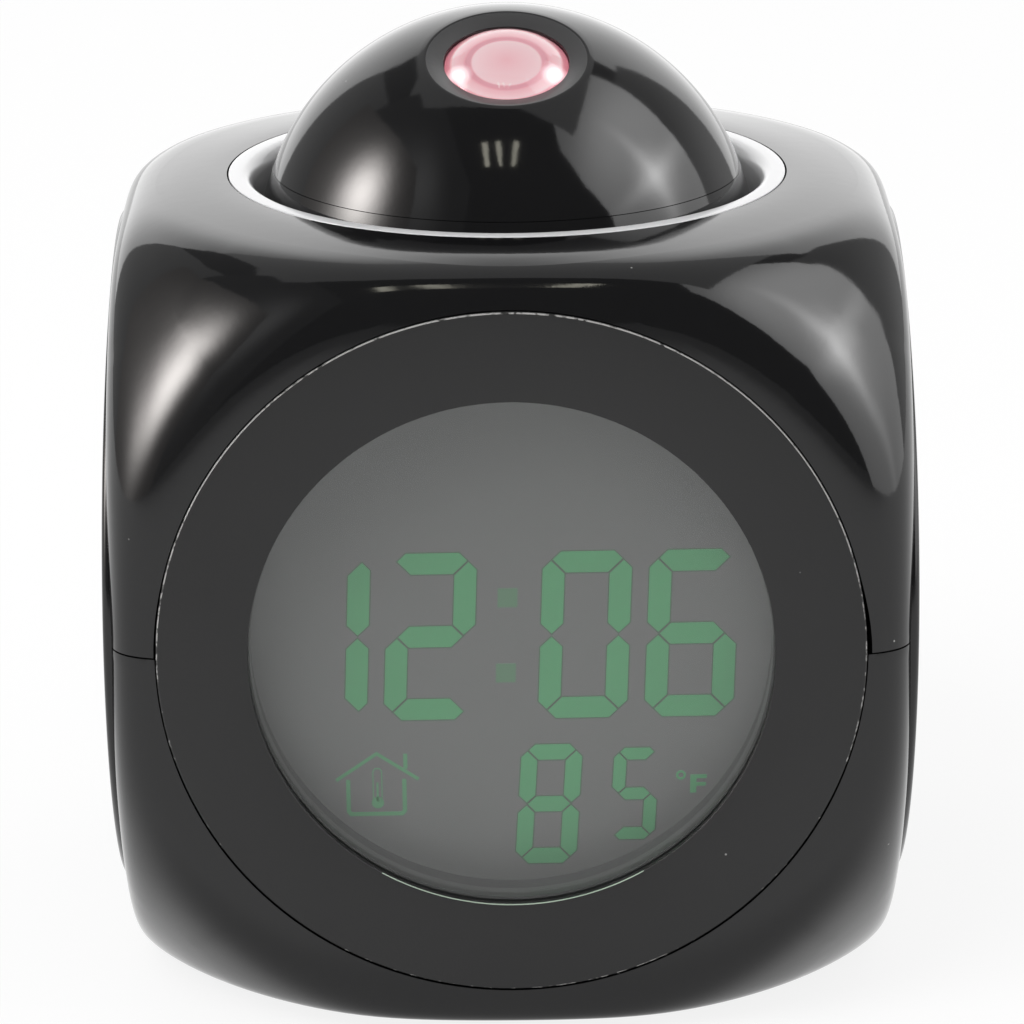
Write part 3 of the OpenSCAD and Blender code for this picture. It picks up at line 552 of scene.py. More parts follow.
def face_row(radius, phi, face):
    """A circle about a face's axis, laid on the surface."""
    height = np.full_like(phi, HALF)
    for _ in range(40):
        d = np.stack((radius * np.cos(phi), radius * np.sin(phi), height), axis=-1)
        size = np.linalg.norm(d, axis=-1)
        d = d / size[..., None]
        height = height * (0.5 + 0.5 * reach(d, down(d, face)) / size)
    return np.stack((radius * np.cos(phi), radius * np.sin(phi), height), axis=-1)


def body_patch(face, radii, around=160, across=30):
    """One face of the cube, from circles about its axis to the borders with its four neighbours."""
    phi = np.linspace(0, 2 * math.pi, around, endpoint=False)
    limit = np.arctan(1 / np.maximum(np.abs(np.cos(phi)), np.abs(np.sin(phi))))
    rows = [face_row(r, phi, face) for r in radii]
    start = np.arctan2(radii[-1], rows[-1][:, 2])
    for i in range(1, across + 1):
        theta = start + (limit - start) * (i / across) ** 1.15
        d = np.stack((np.sin(theta) * np.cos(phi), np.sin(theta) * np.sin(phi), np.cos(theta)), axis=-1)
        rows.append(d * reach(d, down(d, face))[:, None])
    return rows_mesh([turned(row, face) for row in rows])


def body_surface():
    side = (HOLE_R, 36.0, 36.5)
    parts = [body_patch(face, side) for face in ("FRONT", "BACK", "LEFT", "RIGHT")]
    parts.append(body_patch("TOP", (RING_R + 0.17, 29.9, 30.8, 31.8, 32.9, 34.0, 35.2, 36.5)))
    parts.append(body_patch("BOTTOM", (0.0, 12.0, 24.0, 30.0, 33.5, 36.5)))
    verts, faces = joined(parts)
    return [swollen(*v) for v in verts], faces


def swollen(x, y, z):
    """The sides stand a little fuller above the base, and the top rises to meet the ring flush."""
    t = max(0.0, abs(x) - 35.65) / (HALF - 35.65)
    wide = x + math.copysign(FULLER * t * t * eased((z - 2) / 36), x)
    if z > MID + 30:
        z += CROWN * eased((38.2 - math.hypot(x, y)) / 9.0)
    return wide, y, z


def cut_plane(obj, z, keep_above):
    bm = bmesh.new()
    bm.from_mesh(obj.data)
    bmesh.ops.bisect_plane(
        bm,
        geom=bm.verts[:] + bm.edges[:] + bm.faces[:],
        dist=1e-7,
        plane_co=(0, 0, z * MM),
        plane_no=(0, 0, 1),
        clear_inner=keep_above,
        clear_outer=not keep_above,
    )
    for f in bm.faces:
        if f.normal.dot(f.calc_center_median() - Vector((0, 0, MID * MM))) < 0:
            f.normal_flip()
    bm.to_mesh(obj.data)
    bm.free()


def bevel(obj, width, segments=3, angle=50.0):
    mod = obj.modifiers.new("bevel", "BEVEL")
    mod.width = width * MM
    mod.segments = segments
    mod.limit_method = "ANGLE"
    mod.angle_limit = math.radians(angle)
    mod.use_clamp_overlap = True
    mod.miter_outer = "MITER_ARC"
    return mod


def weighted(obj):
    mod = obj.modifiers.new("weighted", "WEIGHTED_NORMAL")
    mod.keep_sharp = True
    mod.weight = 50


def cutter(verts, faces, name="cutter"):
    mesh = bpy.data.meshes.new(name)
    mesh.from_pydata([tuple(v) for v in np.asarray(verts, float) * MM], [], faces)
    bm = bmesh.new()
    bm.from_mesh(mesh)
    bmesh.ops.remove_doubles(bm, verts=bm.verts, dist=1e-6)
    bmesh.ops.recalc_face_normals(bm, faces=bm.faces)
    bm.to_mesh(mesh)
    bm.free()
    obj = bpy.data.objects.new(name, mesh)
    bpy.context.scene.collection.objects.link(obj)
    return obj


def carve(obj, tools):
    """Cuts the tools out of a piece, for good."""
    verts, faces = joined(tools)
    tool = cutter(verts, faces)
    mod = obj.modifiers.new("cut", "BOOLEAN")
    mod.operation = "DIFFERENCE"
    mod.solver = "EXACT"
    mod.use_self = True
    mod.object = tool
    bake(obj)
    bpy.data.objects.remove(tool, do_unlink=True)


def bake(obj):
    """Turns the piece's modifiers into its mesh."""
    depsgraph = bpy.context.evaluated_depsgraph_get()
    mesh = bpy.data.meshes.new_from_object(obj.evaluated_get(depsgraph))
    old = obj.data
    obj.modifiers.clear()
    obj.data = mesh
    bpy.data.meshes.remove(old)


def cylinder(r, h0, h1, place=upright, segments=64):
    return lathe([(0, h0), (r, h0), (r, h1), (0, h1)], place, segments, closed=False)


def box(x0, x1, y0, y1, z0, z1, corner=0.0, steps=6):
    """A box with rounded upright edges."""
    pts = []
    if corner:
        for cx, cy, a in ((x1, y1, 0), (x0, y1, 90), (x0, y0, 180), (x1, y0, 270)):
            ox = cx - corner if cx == x1 else cx + corner
            oy = cy - corner if cy == y1 else cy + corner
            pts += arc(ox, oy, corner, a, a + 90, steps)
    else:
        pts = [(x1, y1), (x0, y1), (x0, y0), (x1, y0)]
    n = len(pts)
    verts = [(x, y, z0) for x, y in pts] + [(x, y, z1) for x, y in pts]
    faces = [tuple(range(n))[::-1], tuple(range(n, 2 * n))]
    faces += [(i, (i + 1) % n, n + (i + 1) % n, n + i) for i in range(n)]
    return verts, faces


def slab(half, z0, z1, corner):
    """A box about the upright axis, from its half sizes."""
    return box(-half[0], half[0], -half[1], half[1], z0, z1, corner)


def at(part, dx=0.0, dy=0.0, dz=0.0):
    verts, faces = part
    return [(x + dx, y + dy, z + dz) for x, y, z in verts], faces


def shell(name, z, keep_above):
    """One half of the case, cut at the seam and given its wall."""
    obj = visual(name, body_surface(), "case", "shell_black", 0)
    cut_plane(obj, z, keep_above)
    if keep_above:
        spread_rim(obj)
    thick = obj.modifiers.new("wall", "SOLIDIFY")
    thick.thickness = WALL * MM
    thick.offset = -1
    thick.use_even_offset = True
    bevel(obj, EDGE_ROUND)
    bake(obj)
    return obj


def spread_rim(obj):
    """The upper half stands a little off the front disc beside the seam, as moulded halves do."""
    outer_r, front_y, spread_deg = 37.6, -38, 15
    push_right, push_left = 0.38, 0.1
    for v in obj.data.vertices:
        x, y, z = v.co.x / MM, v.co.y / MM, v.co.z / MM - MID
        r = math.hypot(x, z)
        if y > front_y or r > outer_r:
            continue
        away = abs(math.degrees(math.atan2(z, abs(x))))
        push = (push_right if x > 0 else push_left) * eased(1 - away / spread_deg) * (outer_r - r) / 2
        v.co.x += x / r * push * MM
        v.co.z += z / r * push * MM


upper = shell("upper_shell", SEAM + SEAM_GAP, True)
weighted(upper)

# wells of the screws and the feet, the door's seat and the bay above it
lower = shell("lower_shell", SEAM - SEAM_GAP, False)
holes = []
for sx in (-1, 1):
    for sy in (-1, 1):
        holes.append(at(cylinder(POST_WELL_R, BELOW, BAY_CUT), sx * POST[0], sy * POST[1]))
        holes.append(at(cylinder(FOOT_SEAT_R, BELOW, FOOT_H), sx * FOOT[0], sy * FOOT[1]))
holes.append(slab(DOOR_SEAT_HALF, BELOW, DOOR_TOP, corner=1.2))
holes.append(slab(BAY_HALF, BELOW, BAY_CUT, corner=0.8))
carve(lower, holes)
weighted(lower)

# ---------- round faces ----------

bezel_profile = filleted([
    (WINDOW_R, HALF, 0.12), (DISC_R, HALF, 0.22), (DISC_R, INNER_HALF), (FLANGE_R, INNER_HALF),
    (FLANGE_R, FLANGE_IN), (WINDOW_OUT_R + 0.1, FLANGE_IN), (WINDOW_OUT_R + 0.1, HALF - LIP_T),
    (WINDOW_R, HALF - LIP_T),
])
bezel = visual("front_bezel", lathe(bezel_profile, outward("FRONT"), 240), "case", "bezel_black")
bezel.data.materials.append(MATS["edge_dust"])
bezel.data.materials.append(MATS["edge_light"])
# dust and a painted highlight on the outer edge, a painted highlight on the window's lower edge
for face in bezel.data.polygons:
    x, y, z = face.center / MM - Vector((0, 0, MID))
    r = math.hypot(x, z)
    if DISC_R - 0.12 < r < DISC_R - 0.02 and y < -39.65:
        face.material_index = 1
    elif r < WINDOW_R + 0.08 and y < -39.6 and z < -0.86 * r:
        face.material_index = 2

window_profile = [(0, HALF - LIP_T), (WINDOW_OUT_R, HALF - LIP_T), (WINDOW_OUT_R, INNER_HALF), (0, INNER_HALF)]
visual("front_window", lathe(window_profile, outward("FRONT"), 128, closed=False), "case", "window_clear")

for side in ("LEFT", "RIGHT"):
    top = HALF + SIDE_OUT
    profile = filleted([
        (0, top), (DISC_R, top, 0.8), (DISC_R, INNER_HALF), (FLANGE_R, INNER_HALF), (FLANGE_R, FLANGE_IN),
        (DISC_R - 2 * WALL, FLANGE_IN), (DISC_R - 2 * WALL, DISC_BACK), (0, DISC_BACK),
    ], 8)
    verts, faces = lathe(profile, outward(side), 240, closed=False)
    verts = [(x - math.copysign(DISC_CROWN * ((z - MID) / DISC_R) ** 2, x), y, z) for x, y, z in verts]
    visual(side.lower() + "_disc", (verts, faces), "case", "disc_black", 30)

# ---------- ring, collar and ball ----------

quarter = [math.radians(t) for t in np.linspace(0, 90, 16)]
ring_profile = arc(RING_R - 0.12, RING_TOP - 0.12, 0.12, 0, 90, 5)
ring_profile += [
    (RING_THROAT_R + (NECK_R - RING_THROAT_R) * math.sin(t), RING_TOP - THROAT_DEPTH * (1 - math.cos(t)))
    for t in quarter
]
ring_profile += [(NECK_R, RING_LOW), (SLEEVE_R, RING_LOW), (SLEEVE_R, SLEEVE_TOP), (RING_R, SLEEVE_TOP)]
visual("top_ring", lathe(ring_profile, upright, 240), "case", "ring_white", 40)


def ball_arc(radius, h0, h1, n):
    """Points of a ball's outline between two heights over its centre."""
    a0, a1 = math.asin(h0 / radius), math.asin(h1 / radius)
    return [(radius * math.cos(a), radius * math.sin(a)) for a in np.linspace(a0, a1, n)]


collar_profile = (
    [(SKIRT_R + 0.06, CAP_H - 3 * PARTING), (BALL_EDGE - PARTING, CAP_H - 3 * PARTING)]
    + ball_arc(BALL_R, CAP_H - 0.11, EAR_H[1], 14)
    + [(EAR_R, EAR_H[1]), (EAR_R, EAR_H[0])]
    + ball_arc(BALL_R, EAR_H[0], COLLAR_LOW, 5)
    + [(0, COLLAR_LOW), (0, COLLAR_FLOOR)]
    + ball_arc(BALL_IN_R, COLLAR_FLOOR, COLLAR_H - SKIRT_T, 8)
    + [(SKIRT_R + 0.06, COLLAR_H - SKIRT_T)]
)
visual("press_collar", lathe(collar_profile, on_ball, 240), "ball_collar", "dome_black", 30)


def dome_mesh(segments=240):
    """The turning cap: a ball zone between the lens's rim and the parting gap, with its skirt and lens hole."""
    a = np.linspace(0, 2 * math.pi, segments, endpoint=False)

    def level(r, h):
        return np.stack((r * np.cos(a), r * np.sin(a), np.full_like(a, h)), axis=-1)

    def tilted(r, h):
        return on_lens_axis(level(r, h)) - np.array([0.0, 0.0, BALL_Z])

    def zone(radius, upper_row, lower_row, n):
        """Rows on a ball, from a circle round the lens to a level circle."""
        u = upper_row / np.linalg.norm(upper_row, axis=1)[:, None]
        v = lower_row / np.linalg.norm(lower_row, axis=1)[:, None]
        angle = np.arccos(np.clip((u * v).sum(1), -1, 1))[:, None]
        out = []
        for t in np.linspace(0, 1, n):
            out.append(radius * (np.sin((1 - t) * angle) * u + np.sin(t * angle) * v) / np.sin(angle))
        return out

    rows = []
    rim_out = RIM_R + RIM_ROUND
    low_h = CAP_H - 0.04
    upper_row = tilted(rim_out, math.sqrt(BALL_R**2 - rim_out**2))
    rows += zone(BALL_R, upper_row, level(math.sqrt(BALL_R**2 - low_h**2), low_h), 44)
    inner_h = CAP_H + SKIRT_T
    for r, h in (
        (BALL_EDGE - PARTING, CAP_H - 2 * PARTING), (SKIRT_R, CAP_H - 2 * PARTING), (SKIRT_R, SKIRT_LOW),
        (SKIRT_R - SKIRT_T, SKIRT_LOW), (SKIRT_R - SKIRT_T, inner_h),
    ):
        rows.append(level(r, h))
    inner_edge = level(math.sqrt(BALL_IN_R**2 - inner_h**2), inner_h)
    hole_in = tilted(LENS_HOLE_R, math.sqrt(BALL_IN_R**2 - LENS_HOLE_R**2))
    rows += zone(BALL_IN_R, hole_in, inner_edge, 12)[::-1]
    rows += [tilted(LENS_HOLE_R, RIM_H - SINK_T - 0.06), tilted(LENS_HOLE_R + 0.05, RIM_H - SINK_T + 0.02)]
    # the countersink, curving over into the ball at its rim
    for t in np.linspace(0.12, 1, 8):
        r = LENS_HOLE_R + (RIM_R - LENS_HOLE_R) * t
        h = RIM_H - SINK_T * (1 - t)
        rows.append(tilted(r, h - 0.10 * t**3))
    last = RIM_R + RIM_ROUND * 0.55
    rows.append(tilted(last, math.sqrt(BALL_R**2 - last**2) - 0.02))
    return rows_mesh([row + np.array([0.0, 0.0, BALL_Z]) for row in rows], closed=True)


dome = visual("dome_shell", dome_mesh(), "dome_cap", "dome_black", 32)
dome.data.materials.append(MATS["dome_satin"])
for face in dome.data.polygons:
    along, off = off_lens_axis(face)
    if LENS_HOLE_R + 0.03 < off < RIM_R - 0.05 and along > 23.9:
        face.material_index = 1

lens_edge = LENS_TOP - LENS_SAG
lens_profile = [
    (0, LENS_H), (LENS_R - LENS_CHAMFER, LENS_H), (LENS_R, LENS_H + LENS_CHAMFER), (LENS_R, lens_edge - 0.05),
]
lens_profile += [(r, LENS_TOP - LENS_SAG * (r / LENS_R) ** LENS_CURVE) for r in np.linspace(LENS_R - 0.02, 0, 32)]
lens = visual("projector_lens", lathe(lens_profile, on_lens_axis, 160, closed=False), "dome_cap", "lens_pink", 40)
# its flat side shows the steps of the tube behind it and two painted highlights, its wall is opaque, and both glow
# with painted light
lens.data.materials.append(MATS["lens_rings"])
lens.data.materials.append(MATS["reflector_rose"])
for face in lens.data.polygons:
    along, off = off_lens_axis(face)
    if along < LENS_H + 0.02:
        face.material_index = 1
    elif off > LENS_R - 0.12 and along < lens_edge:
        face.material_index = 2

# a pale stepped cup under the lens, glowing pink and rose with painted light
cup_profile = [
    (0, 17.6), (1.4, 17.6), (1.6, 17.75), (3.0, 18.2), (3.1, 18.5), (4.3, 19.0), (4.4, 19.3), (5.6, 20.1),
    (6.15, 20.86), (6.27, 20.86), (6.27, 17.2), (0, 17.2),
]
verts, faces = lathe(cup_profile, on_lens_axis, 96, closed=False)
pink = MATS["reflector_pink"]
cup = mesh_object("visual_lens_reflector", verts, faces, "dome_cap", pink, smooth_angle=30, slot="lens_pink")
cup.data.materials.append(MATS["reflector_rose"])
for face in cup.data.polygons:
    if off_lens_axis(face)[1] > 5.0:
        face.material_index = 1

# ---------- display ----------


def seven(width, height, thick, gap, cut, lit_bars):
    """Outlines of the lit bars of one figure, centred on the origin; each bar has pointed ends."""
    w, h, t, g = width / 2, height / 2, thick, gap / 2 * math.sqrt(2)
    c = cut / 2
    bars = {
        "a": [
            (-w + c + g, h - c), (-w + 2 * c + g, h), (w - 2 * c - g, h),
            (w - c - g, h - c), (w - t - g, h - t), (-w + t + g, h - t),
        ],
        "b": [
            (w, h - 2 * c - g), (w - c, h - c - g), (w - t, h - t - g),
            (w - t, t / 2 + g), (w - t / 2, g + 0.03), (w, t / 2 + g),
        ],
        "g": [
            (-w + t / 2 + g, 0), (-w + t + g, t / 2), (w - t - g, t / 2),
            (w - t / 2 - g, 0), (w - t - g, -t / 2), (-w + t + g, -t / 2),
        ],
    }
    bars["d"] = [(x, -z) for x, z in bars["a"]][::-1]
    bars["c"] = [(x, -z) for x, z in bars["b"]][::-1]
    bars["f"] = [(-x, z) for x, z in bars["b"]][::-1]
    bars["e"] = [(-x, -z) for x, z in bars["b"]]
    return [bars[name] for name in lit_bars]


def grown(outline, by):
    """An outline pushed out by a small distance."""
    pts = [np.array(p, float) for p in outline]
    area = sum(p[0] * q[1] - q[0] * p[1] for p, q in zip(pts, pts[1:] + pts[:1]))
    sign = 1 if area > 0 else -1
    out = []
    for i, p in enumerate(pts):
        a = p - pts[i - 1]
        b = pts[(i + 1) % len(pts)] - p
        na = np.array([a[1], -a[0]]) / np.linalg.norm(a) * sign
        nb = np.array([b[1], -b[0]]) / np.linalg.norm(b) * sign
        n = na + nb
        out.append(tuple(p + n / float(n @ n) * 2 * by))
    return out


def placed(outlines, x, z, shear=0.0):
    """Outlines leant over, moved to their place and turned with the glass."""
    out = []
    c, s = math.cos(LCD_TURN), math.sin(LCD_TURN)
    for outline in outlines:
        pts = []
        for px, pz in outline:
            qx, qz = px + shear * pz + x, pz + z
            pts.append((qx * c - qz * s, qx * s + qz * c))
        out.append(pts)
    return out


def disc_outline(x, z, r, n=24):
    return [(x + r * math.cos(t), z + r * math.sin(t)) for t in np.linspace(0, 2 * math.pi, n, endpoint=False)]


def stroke(points, width):
    """A flat line of one width along points, as quads between mitred sides."""
    pts = [np.array(p, float) for p in points]
    left, right = [], []
    for i, p in enumerate(pts):
        d0 = pts[i] - pts[i - 1] if i else pts[1] - pts[0]
        d1 = pts[i + 1] - pts[i] if i < len(pts) - 1 else d0
        n0 = np.array([-d0[1], d0[0]]) / np.linalg.norm(d0)
        n1 = np.array([-d1[1], d1[0]]) / np.linalg.norm(d1)
        n = n0 + n1
        n = n / float(n @ n) * width
        left.append(tuple(p + n))
        right.append(tuple(p - n))
    return left + right[::-1]


HOUR_FIGURE = (8.95, 17.6, 2.2, 0.22, 1.65)
TENS_FIGURE = (6.15, 12.75, 1.62, 0.2, 1.2)
UNITS_FIGURE = (4.55, 9.8, 1.25, 0.18, 0.9)
figures = []
for size, lit_bars, x, z, shear in (
    (HOUR_FIGURE, "bc", -18.85, 0.05, 0.045), (HOUR_FIGURE, "abged", -8.15, -0.05, 0.045),
    (HOUR_FIGURE, "abcdef", 7.45, -0.1, 0.045), (HOUR_FIGURE, "acdefg", 18.2, -0.12, 0.045),
    (TENS_FIGURE, "abcdefg", 3.55, -18.1, 0.07), (UNITS_FIGURE, "acdfg", 12.25, -17.15, 0.07),
):
    figures += placed(seven(*size, lit_bars), x, z, shear)
dot = [[(-1, -1), (1, -1), (1, 1), (-1, 1)]]
colon = placed(dot, -0.29, 3.93, 0.03) + placed(dot, -0.6, -4.02, 0.03)
letter_outline = [
    (-0.85, -0.97), (-0.22, -0.97), (-0.22, -0.24), (0.72, -0.24), (0.76, 0.14),
    (-0.2, 0.14), (-0.19, 0.56), (0.84, 0.56), (0.86, 0.97), (-0.8, 0.97),
]
letter = placed([letter_outline], 18.75, -16.2)
front = LCD_Y - 0.002


def drawn(name, outlines, slot, thick=0.025, lift=0.0):
    """Thin raised outlines on the display's glass."""
    verts, faces = joined([prism(o, front - lift, front - thick) for o in outlines])
    verts = [(x, y, z + MID) for x, y, z in verts]
    mesh_object("visual_" + name, verts, faces, "case", MATS[slot], smooth_angle=10, slot="display_glass")


drawn("figure_edges", [grown(o, 0.13) for o in figures], "lcd_line", 0.012)
drawn("figures", figures, "lcd_green", 0.03, 0.004)
drawn("colon", colon, "lcd_faint")
drawn("letter", letter, "lcd_green")

house = [
    stroke([(-4.15, -2.9), (0, -0.1), (4.2, -2.9)], 0.34),
    stroke([(-2.95, -2.85), (-2.95, -6.25), (-2.7, -6.55), (2.5, -6.55), (2.75, -6.25), (2.75, -2.85)], 0.42),
    stroke([(2.9, -0.15), (2.9, -1.75)], 0.4),
    stroke([(-0.42, -4.9), (-0.42, -2.0), (-0.2, -1.7), (0.25, -1.7), (0.47, -2.0), (0.47, -4.9)], 0.11),
    stroke([(0.02, -5.2), (0.02, -3.2)], 0.2),
    disc_outline(0.02, -5.35, 0.62),
]
drawn("house_sign", placed(house, -13.85, -12.3), "lcd_thin")

verts, faces = lathe([(0.27, 0.0), (0.5, 0.0), (0.5, 0.025), (0.27, 0.025)], upright, 24)
verts = [(x + 17.15, front - z, y - 15.07 + MID) for x, y, z in verts]
green = MATS["lcd_green"]
mesh_object("visual_degree_sign", verts, faces, "case", green, smooth_angle=10, slot="display_glass")

# the two bands of the well between window and glass; the darker band deeper in is painted shade
WELL = (("well_liner", "liner_grey", 0.25, 37.6, 35.1), ("well_gasket", "gasket_dark", 0.12, 35.1, 32.37))
for name, slot, inset, y0, y1 in WELL:
    outer, inner = TUBE_R - 0.02, TUBE_R - inset
    verts, faces = lathe([(outer, y0), (inner, y0), (inner, y1), (outer, y1)], outward("FRONT"), 160)
    mesh_object("visual_" + name, verts, faces, "case", MATS[slot], slot="housing_grey")

# ---------- back panel, keys, switch ----------

panel_profile = filleted([
    (0, PANEL_Y), (DISC_R, PANEL_Y, 0.25), (DISC_R, INNER_HALF), (FLANGE_R, INNER_HALF), (FLANGE_R, FLANGE_IN),
    (0, FLANGE_IN),
])
panel = visual("back_panel", lathe(panel_profile, outward("BACK"), 200, closed=False), "case", "panel_black", 30)


def along_y(part, x, z):
    """Stands a part built along +Z on the line through (x, z), looking along +Y."""
    verts, faces = part
    return [(vx + x, vz, z - vy) for vx, vy, vz in verts], faces


grille_hole = cylinder(GRILLE_R, *PANEL_CUT, segments=24)
cuts = [along_y(cylinder(KEY_R + KEY_GAP, *PANEL_CUT), x, KEY_Z) for x in KEY_X]
cuts.append(along_y(slab(SLOT_HALF, *PANEL_CUT, corner=0.4), 0, SWITCH_Z))
cuts.append(along_y(grille_hole, 0, SPEAKER_Z))
for ring in (1, 2):
    for i in range(6 * ring):
        angle = 2 * math.pi * i / (6 * ring)
        x, dz = GRILLE_PITCH * ring * math.cos(angle), GRILLE_PITCH * ring * math.sin(angle)
        cuts.append(along_y(grille_hole, x, SPEAKER_Z - dz))
carve(panel, cuts)
bevel(panel, 0.22, 3, 40)
weighted(panel)

key_profile = filleted([
    (0, KEY_BACK), (KEY_FLANGE_R, KEY_BACK), (KEY_FLANGE_R, KEY_SHOULDER), (KEY_R, KEY_SHOULDER),
    (KEY_R, HALF, 0.5), (0, HALF),
], 6)
# a shallow dish for the fingertip
dish = [p for p in key_profile if p[1] < HALF - 0.01 or p[0] > 2.9]
dish += [(DISH_R * math.cos(t), HALF - DISH_DEPTH * math.sin(t)) for t in map(math.radians, np.linspace(0, 90, 7))]
for name, x in zip(KEY_NAMES, KEY_X):
    key_parts = joined([lathe(dish, upright, 72, closed=False), cylinder(KEY_STEM_R, KEY_BACK - 1, KEY_BACK + 0.05)])
    visual(name, along_y(key_parts, x, KEY_Z), name, "key_black")

# ---------- base: door, feet ------------------

door_box = slab(DOOR_HALF, BASE_Z, DOOR_TOP, corner=1.0)
door = visual("battery_door", door_box, "battery_door", "panel_black", 30)
# a finger dent and five grooves for the grip
dents = [at(cylinder(5, BELOW, BASE_Z + 0.5), 17.15)]
for i in range(5):
    groove_x = -21 + i * 1.6
    dents.append(box(groove_x, groove_x + 0.7, -6, 6, BELOW, BASE_Z + 0.35, corner=0.3))
carve(door, dents)
bevel(door, 0.2, 3, 40)
weighted(door)

foot_profile = filleted([(0, 0), (FOOT_R, 0, 0.35), (FOOT_R, FOOT_H), (0, FOOT_H)], 5)
parts = []
for sx in (-1, 1):
    for sy in (-1, 1):
        parts.append(at(lathe(foot_profile, upright, 64, closed=False), sx * FOOT[0], sy * FOOT[1]))
visual("feet", joined(parts), "case", "foot_rubber")

# ---------- stage and light ----------


def added(name, data):
    obj = bpy.data.objects.new(name, data)
    bpy.context.scene.collection.objects.link(obj)
    return obj


def across(axis, where, outline):
    """Corners of a flat sheet across one axis, from their two other coordinates."""
    return [(*point[:axis], where, *point[axis:]) for point in outline]


def lit(name, corners, base, color=(1, 1, 1), blobs=()):
    """A glowing sheet that shines only in glossy reflections: a base level and soft round blobs."""
    mesh = bpy.data.meshes.new(name)
    mesh.from_pydata(corners, [], [tuple(range(len(corners)))])
    obj = added(name, mesh)
    mat, tree, surface = new_material(name)
    where = tree.nodes.new("ShaderNodeTexCoord").outputs["Object"]
    strength = base
    for centre, spread, height in blobs:
        near = about(tree, where, centre, spread)
        size = maths(tree, "DOT_PRODUCT", near, near, kind="ShaderNodeVectorMath")
        bell = maths(tree, "EXPONENT", maths(tree, "MULTIPLY", size, -1.0))
        strength = maths(tree, "MULTIPLY_ADD", bell, height, strength)
    glow = node(tree, "ShaderNodeEmission", Color=(*color, 1), Strength=strength)
    feed(tree, surface, glow.outputs["Emission"])
    mesh.materials.append(mat)
    obj.visible_camera = False
    obj.visible_diffuse = False
    obj.visible_shadow = False
    obj.visible_transmission = False


# a soft lamp on the left with a bright middle, a big diffuser with a star of light on the right
LAMP_LEFT = (
    (0.46, -0.05), (0.5, 0.17), (0.62, 0.55), (0.68, 0.93), (0.69, 1.02), (0.2, 1.12), (-0.1, 1.2), (-0.62, 1.2),
    (-0.8, 0.9), (-0.86, 0.62), (-0.8, -0.05),
)
DIFFUSER_RIGHT = (
    (0.42, -0.05), (0.40, 0.2), (0.45, 0.45), (0.52, 0.77), (0.7, 1.2), (0.95, 2.0), (1.4, 3.4), (-0.45, 3.4),
    (-1.1, 2.3), (-0.98, 1.2), (-0.75, 0.6), (-0.72, -0.05),
)
SWEEP_BACK = (
    (-1.8, -0.05), (-1.52, 0.35), (-1.32, 0.79), (-1.11, 1.18), (-0.95, 1.5), (0.2, 1.7), (0.95, 1.85), (1.29, 1.72),
    (1.46, 1.2), (1.5, 0.77), (1.53, -0.05),
)
SWEEP_TOP = (
    (-1.0, 1.9), (-1.0, 0.9), (-1.3, 0.32), (-0.8, 0.0), (-0.37, -0.17), (0.04, -0.17), (0.42, -0.36), (0.72, -0.46),
    (0.95, -0.55), (0.95, 1.9),
)
lit("lamp_left", across(0, -1, LAMP_LEFT), 0.34, (1.0, 0.955, 0.925), [
    ((-1, -0.17, 0.53), (1, 0.21, 0.28), 17.5), ((-1, -0.12, 0.56), (1, 0.42, 0.45), 1.5),
])
lit("diffuser_right", across(0, 1, DIFFUSER_RIGHT), 1.5, blobs=[
    ((1, -0.1, 1.15), (1, 0.85, 0.75), 2.3), ((1, -0.04, 0.61), (1, 0.2, 0.2), 3.4),
    ((1, -0.05, 0.66), (1, 0.08, 0.5), 1.9), ((1, -0.04, 0.61), (1, 0.46, 0.08), 1.9),
])
lit("sweep_back", across(1, 1.4, SWEEP_BACK), 1.72, blobs=[
    ((-0.3, 1.4, 1.9), (1.1, 1, 0.75), -1.0), ((-1.35, 1.4, 0.4), (0.5, 1, 0.4), -0.45),
    ((1.1, 1.4, 0.3), (0.4, 1, 0.4), -0.3),
])
lit("sweep_top", across(2, 1.9, SWEEP_TOP), 0.6)
# three tubes overhead, each from (x0, y -0.85) to (x1, y -1.39), with half widths w0 and w1
TUBES = ((-0.328, -0.338, 0.045, 0.04), (-0.132, -0.11, 0.038, 0.028), (0.145, 0.101, 0.04, 0.03))
for i, (x0, x1, w0, w1) in enumerate(TUBES):
    bar = across(2, 1.95, ((x0 - w0, -0.85), (x0 + w0, -0.85), (x1 + w1, -1.39), (x1 - w1, -1.39)))
    lit("tube_%d" % i, bar, 5.0, (1.0, 0.97, 0.82))


# paler walls beyond the sheets' borders
def wall(y0, y1, top):
    return (y0, -0.05), (y0, top), (y1, top), (y1, -0.05)


lit("haze_left", across(0, -1.03, wall(0.5, -2.6, 2.6)), 0.2, blobs=[((-1.03, -0.8, 1.05), (1, 0.5, 0.6), 0.55)])
lit("haze_left_back", across(0, -1.03, wall(1.5, 0.5, 1.3)), 0.4)
lit("haze_right", across(0, 1.03, wall(0.3, 1.6, 1.5)), 0.38, blobs=[((1.03, 0.7, 0.25), (1, 0.7, 0.4), 0.25)])


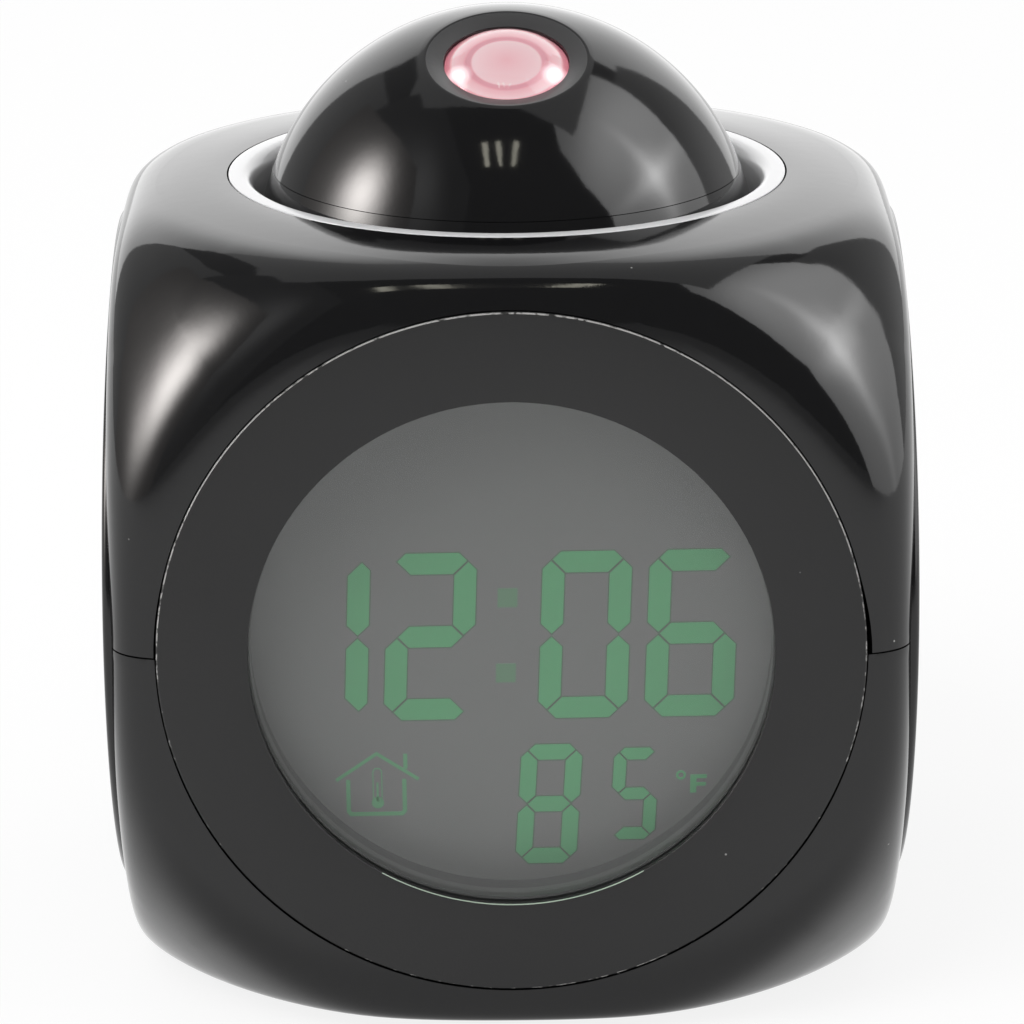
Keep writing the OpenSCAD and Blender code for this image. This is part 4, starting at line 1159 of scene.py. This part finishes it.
def floor_material():
    """White paper that glows for the camera and in glass and mirrors, and keeps the clock's shadow."""
    mat, tree, surface = new_material("floor_white")
    paper = node(tree, "ShaderNodeBsdfDiffuse", Color=(0.9, 0.9, 0.9, 1))
    path = tree.nodes.new("ShaderNodeLightPath")
    share = 0.0
    for ray, much in (("Is Camera Ray", 0.8), ("Is Glossy Ray", 0.85), ("Is Transmission Ray", 0.8)):
        share = maths(tree, "MULTIPLY_ADD", path.outputs[ray], much, share)
    # mirrors see a painted shadow on the floor close in front of the clock, and painted shade making it dimmer
    # towards the room in front
    where = tree.nodes.new("ShaderNodeTexCoord").outputs["Object"]
    spot = about(tree, where, (0, -0.045, 0), (0.05, 0.016, 1))
    far = maths(tree, "LENGTH", spot, kind="ShaderNodeVectorMath")
    along = node(tree, "ShaderNodeSeparateXYZ", Vector=where).outputs["Y"]
    shade = maths(
        tree, "MULTIPLY", ranged(tree, far, 0.5, 1.7, 0.75, 1.0, soft=True),
        ranged(tree, along, -0.75, -0.16, 0.24, 1.0, soft=True),
    )
    strength = mixed(tree, path.outputs["Is Glossy Ray"], 1.07, shade, "FLOAT")
    glow = node(tree, "ShaderNodeEmission", Color=(1, 1, 1, 1), Strength=strength)
    feed(tree, surface, mixed_shaders(tree, share, paper.outputs["BSDF"], glow.outputs["Emission"]))
    return mat


floor_mesh = bpy.data.meshes.new("floor")
floor_mesh.from_pydata([(-6, -6, 0), (6, -6, 0), (6, 6, 0), (-6, 6, 0)], [], [(0, 1, 2, 3)])
floor_mesh.materials.append(floor_material())
added("floor", floor_mesh)

world = bpy.data.worlds.new("studio")
bpy.context.scene.world = world
world.use_nodes = True
tree = world.node_tree
tree.nodes.clear()
surface = tree.nodes.new("ShaderNodeOutputWorld").inputs["Surface"]
path = tree.nodes.new("ShaderNodeLightPath")
generated = tree.nodes.new("ShaderNodeTexCoord").outputs["Generated"]
depth = node(tree, "ShaderNodeSeparateXYZ", Vector=generated).outputs["Y"]
# mirrors and glass see a dim room, a little paler behind; the camera sees white; the rest is fill light
room = ranged(tree, depth, -0.35, 0.45, 0.16, 0.22, soft=True)
seen, mirrored, fill = [
    node(tree, "ShaderNodeBackground", Strength=strength).outputs["Background"] for strength in (1.0, room, 0.75)
]
either = maths(tree, "MAXIMUM", path.outputs["Is Glossy Ray"], path.outputs["Is Transmission Ray"])
others = mixed_shaders(tree, either, fill, mirrored)
feed(tree, surface, mixed_shaders(tree, path.outputs["Is Camera Ray"], others, seen))

lamp = bpy.data.lights.new("key", "AREA")
lamp.shape = "DISK"
lamp.size = 0.9
lamp.energy = 7.0
key = added("key", lamp)
key.location = (-0.55, -0.75, 1.15)
key.rotation_euler = (Vector((0, 0, 0.05)) - key.location).to_track_quat("-Z", "Y").to_euler()
key.visible_glossy = False
key.visible_camera = False

# ---------- camera ----------

AZ, EL, ROLL = math.radians(-0.302), math.radians(16.823), math.radians(-0.34)
TARGET = Vector((0.000335, 0, 0.043614))
DISTANCE = 0.62541
FOCAL_PX, IMAGE_PX, SENSOR_MM = 5904.7, 1024, 36.0
back = Vector((math.sin(AZ) * math.cos(EL), -math.cos(AZ) * math.cos(EL), math.sin(EL)))
right = (-back).cross(Vector((0, 0, 1))).normalized()
up = right.cross(-back)
right, up = math.cos(ROLL) * right + math.sin(ROLL) * up, -math.sin(ROLL) * right + math.cos(ROLL) * up
camera = bpy.data.cameras.new("camera")
camera.sensor_width = SENSOR_MM
camera.lens = FOCAL_PX * SENSOR_MM / IMAGE_PX
camera.clip_start, camera.clip_end = 0.01, 50
eye = added("camera", camera)
turn = Matrix((right, up, back)).transposed().to_4x4()
eye.matrix_world = Matrix.Translation(TARGET + back * DISTANCE) @ turn
bpy.context.scene.camera = eye
bpy.context.scene.view_settings.view_transform = "Standard"
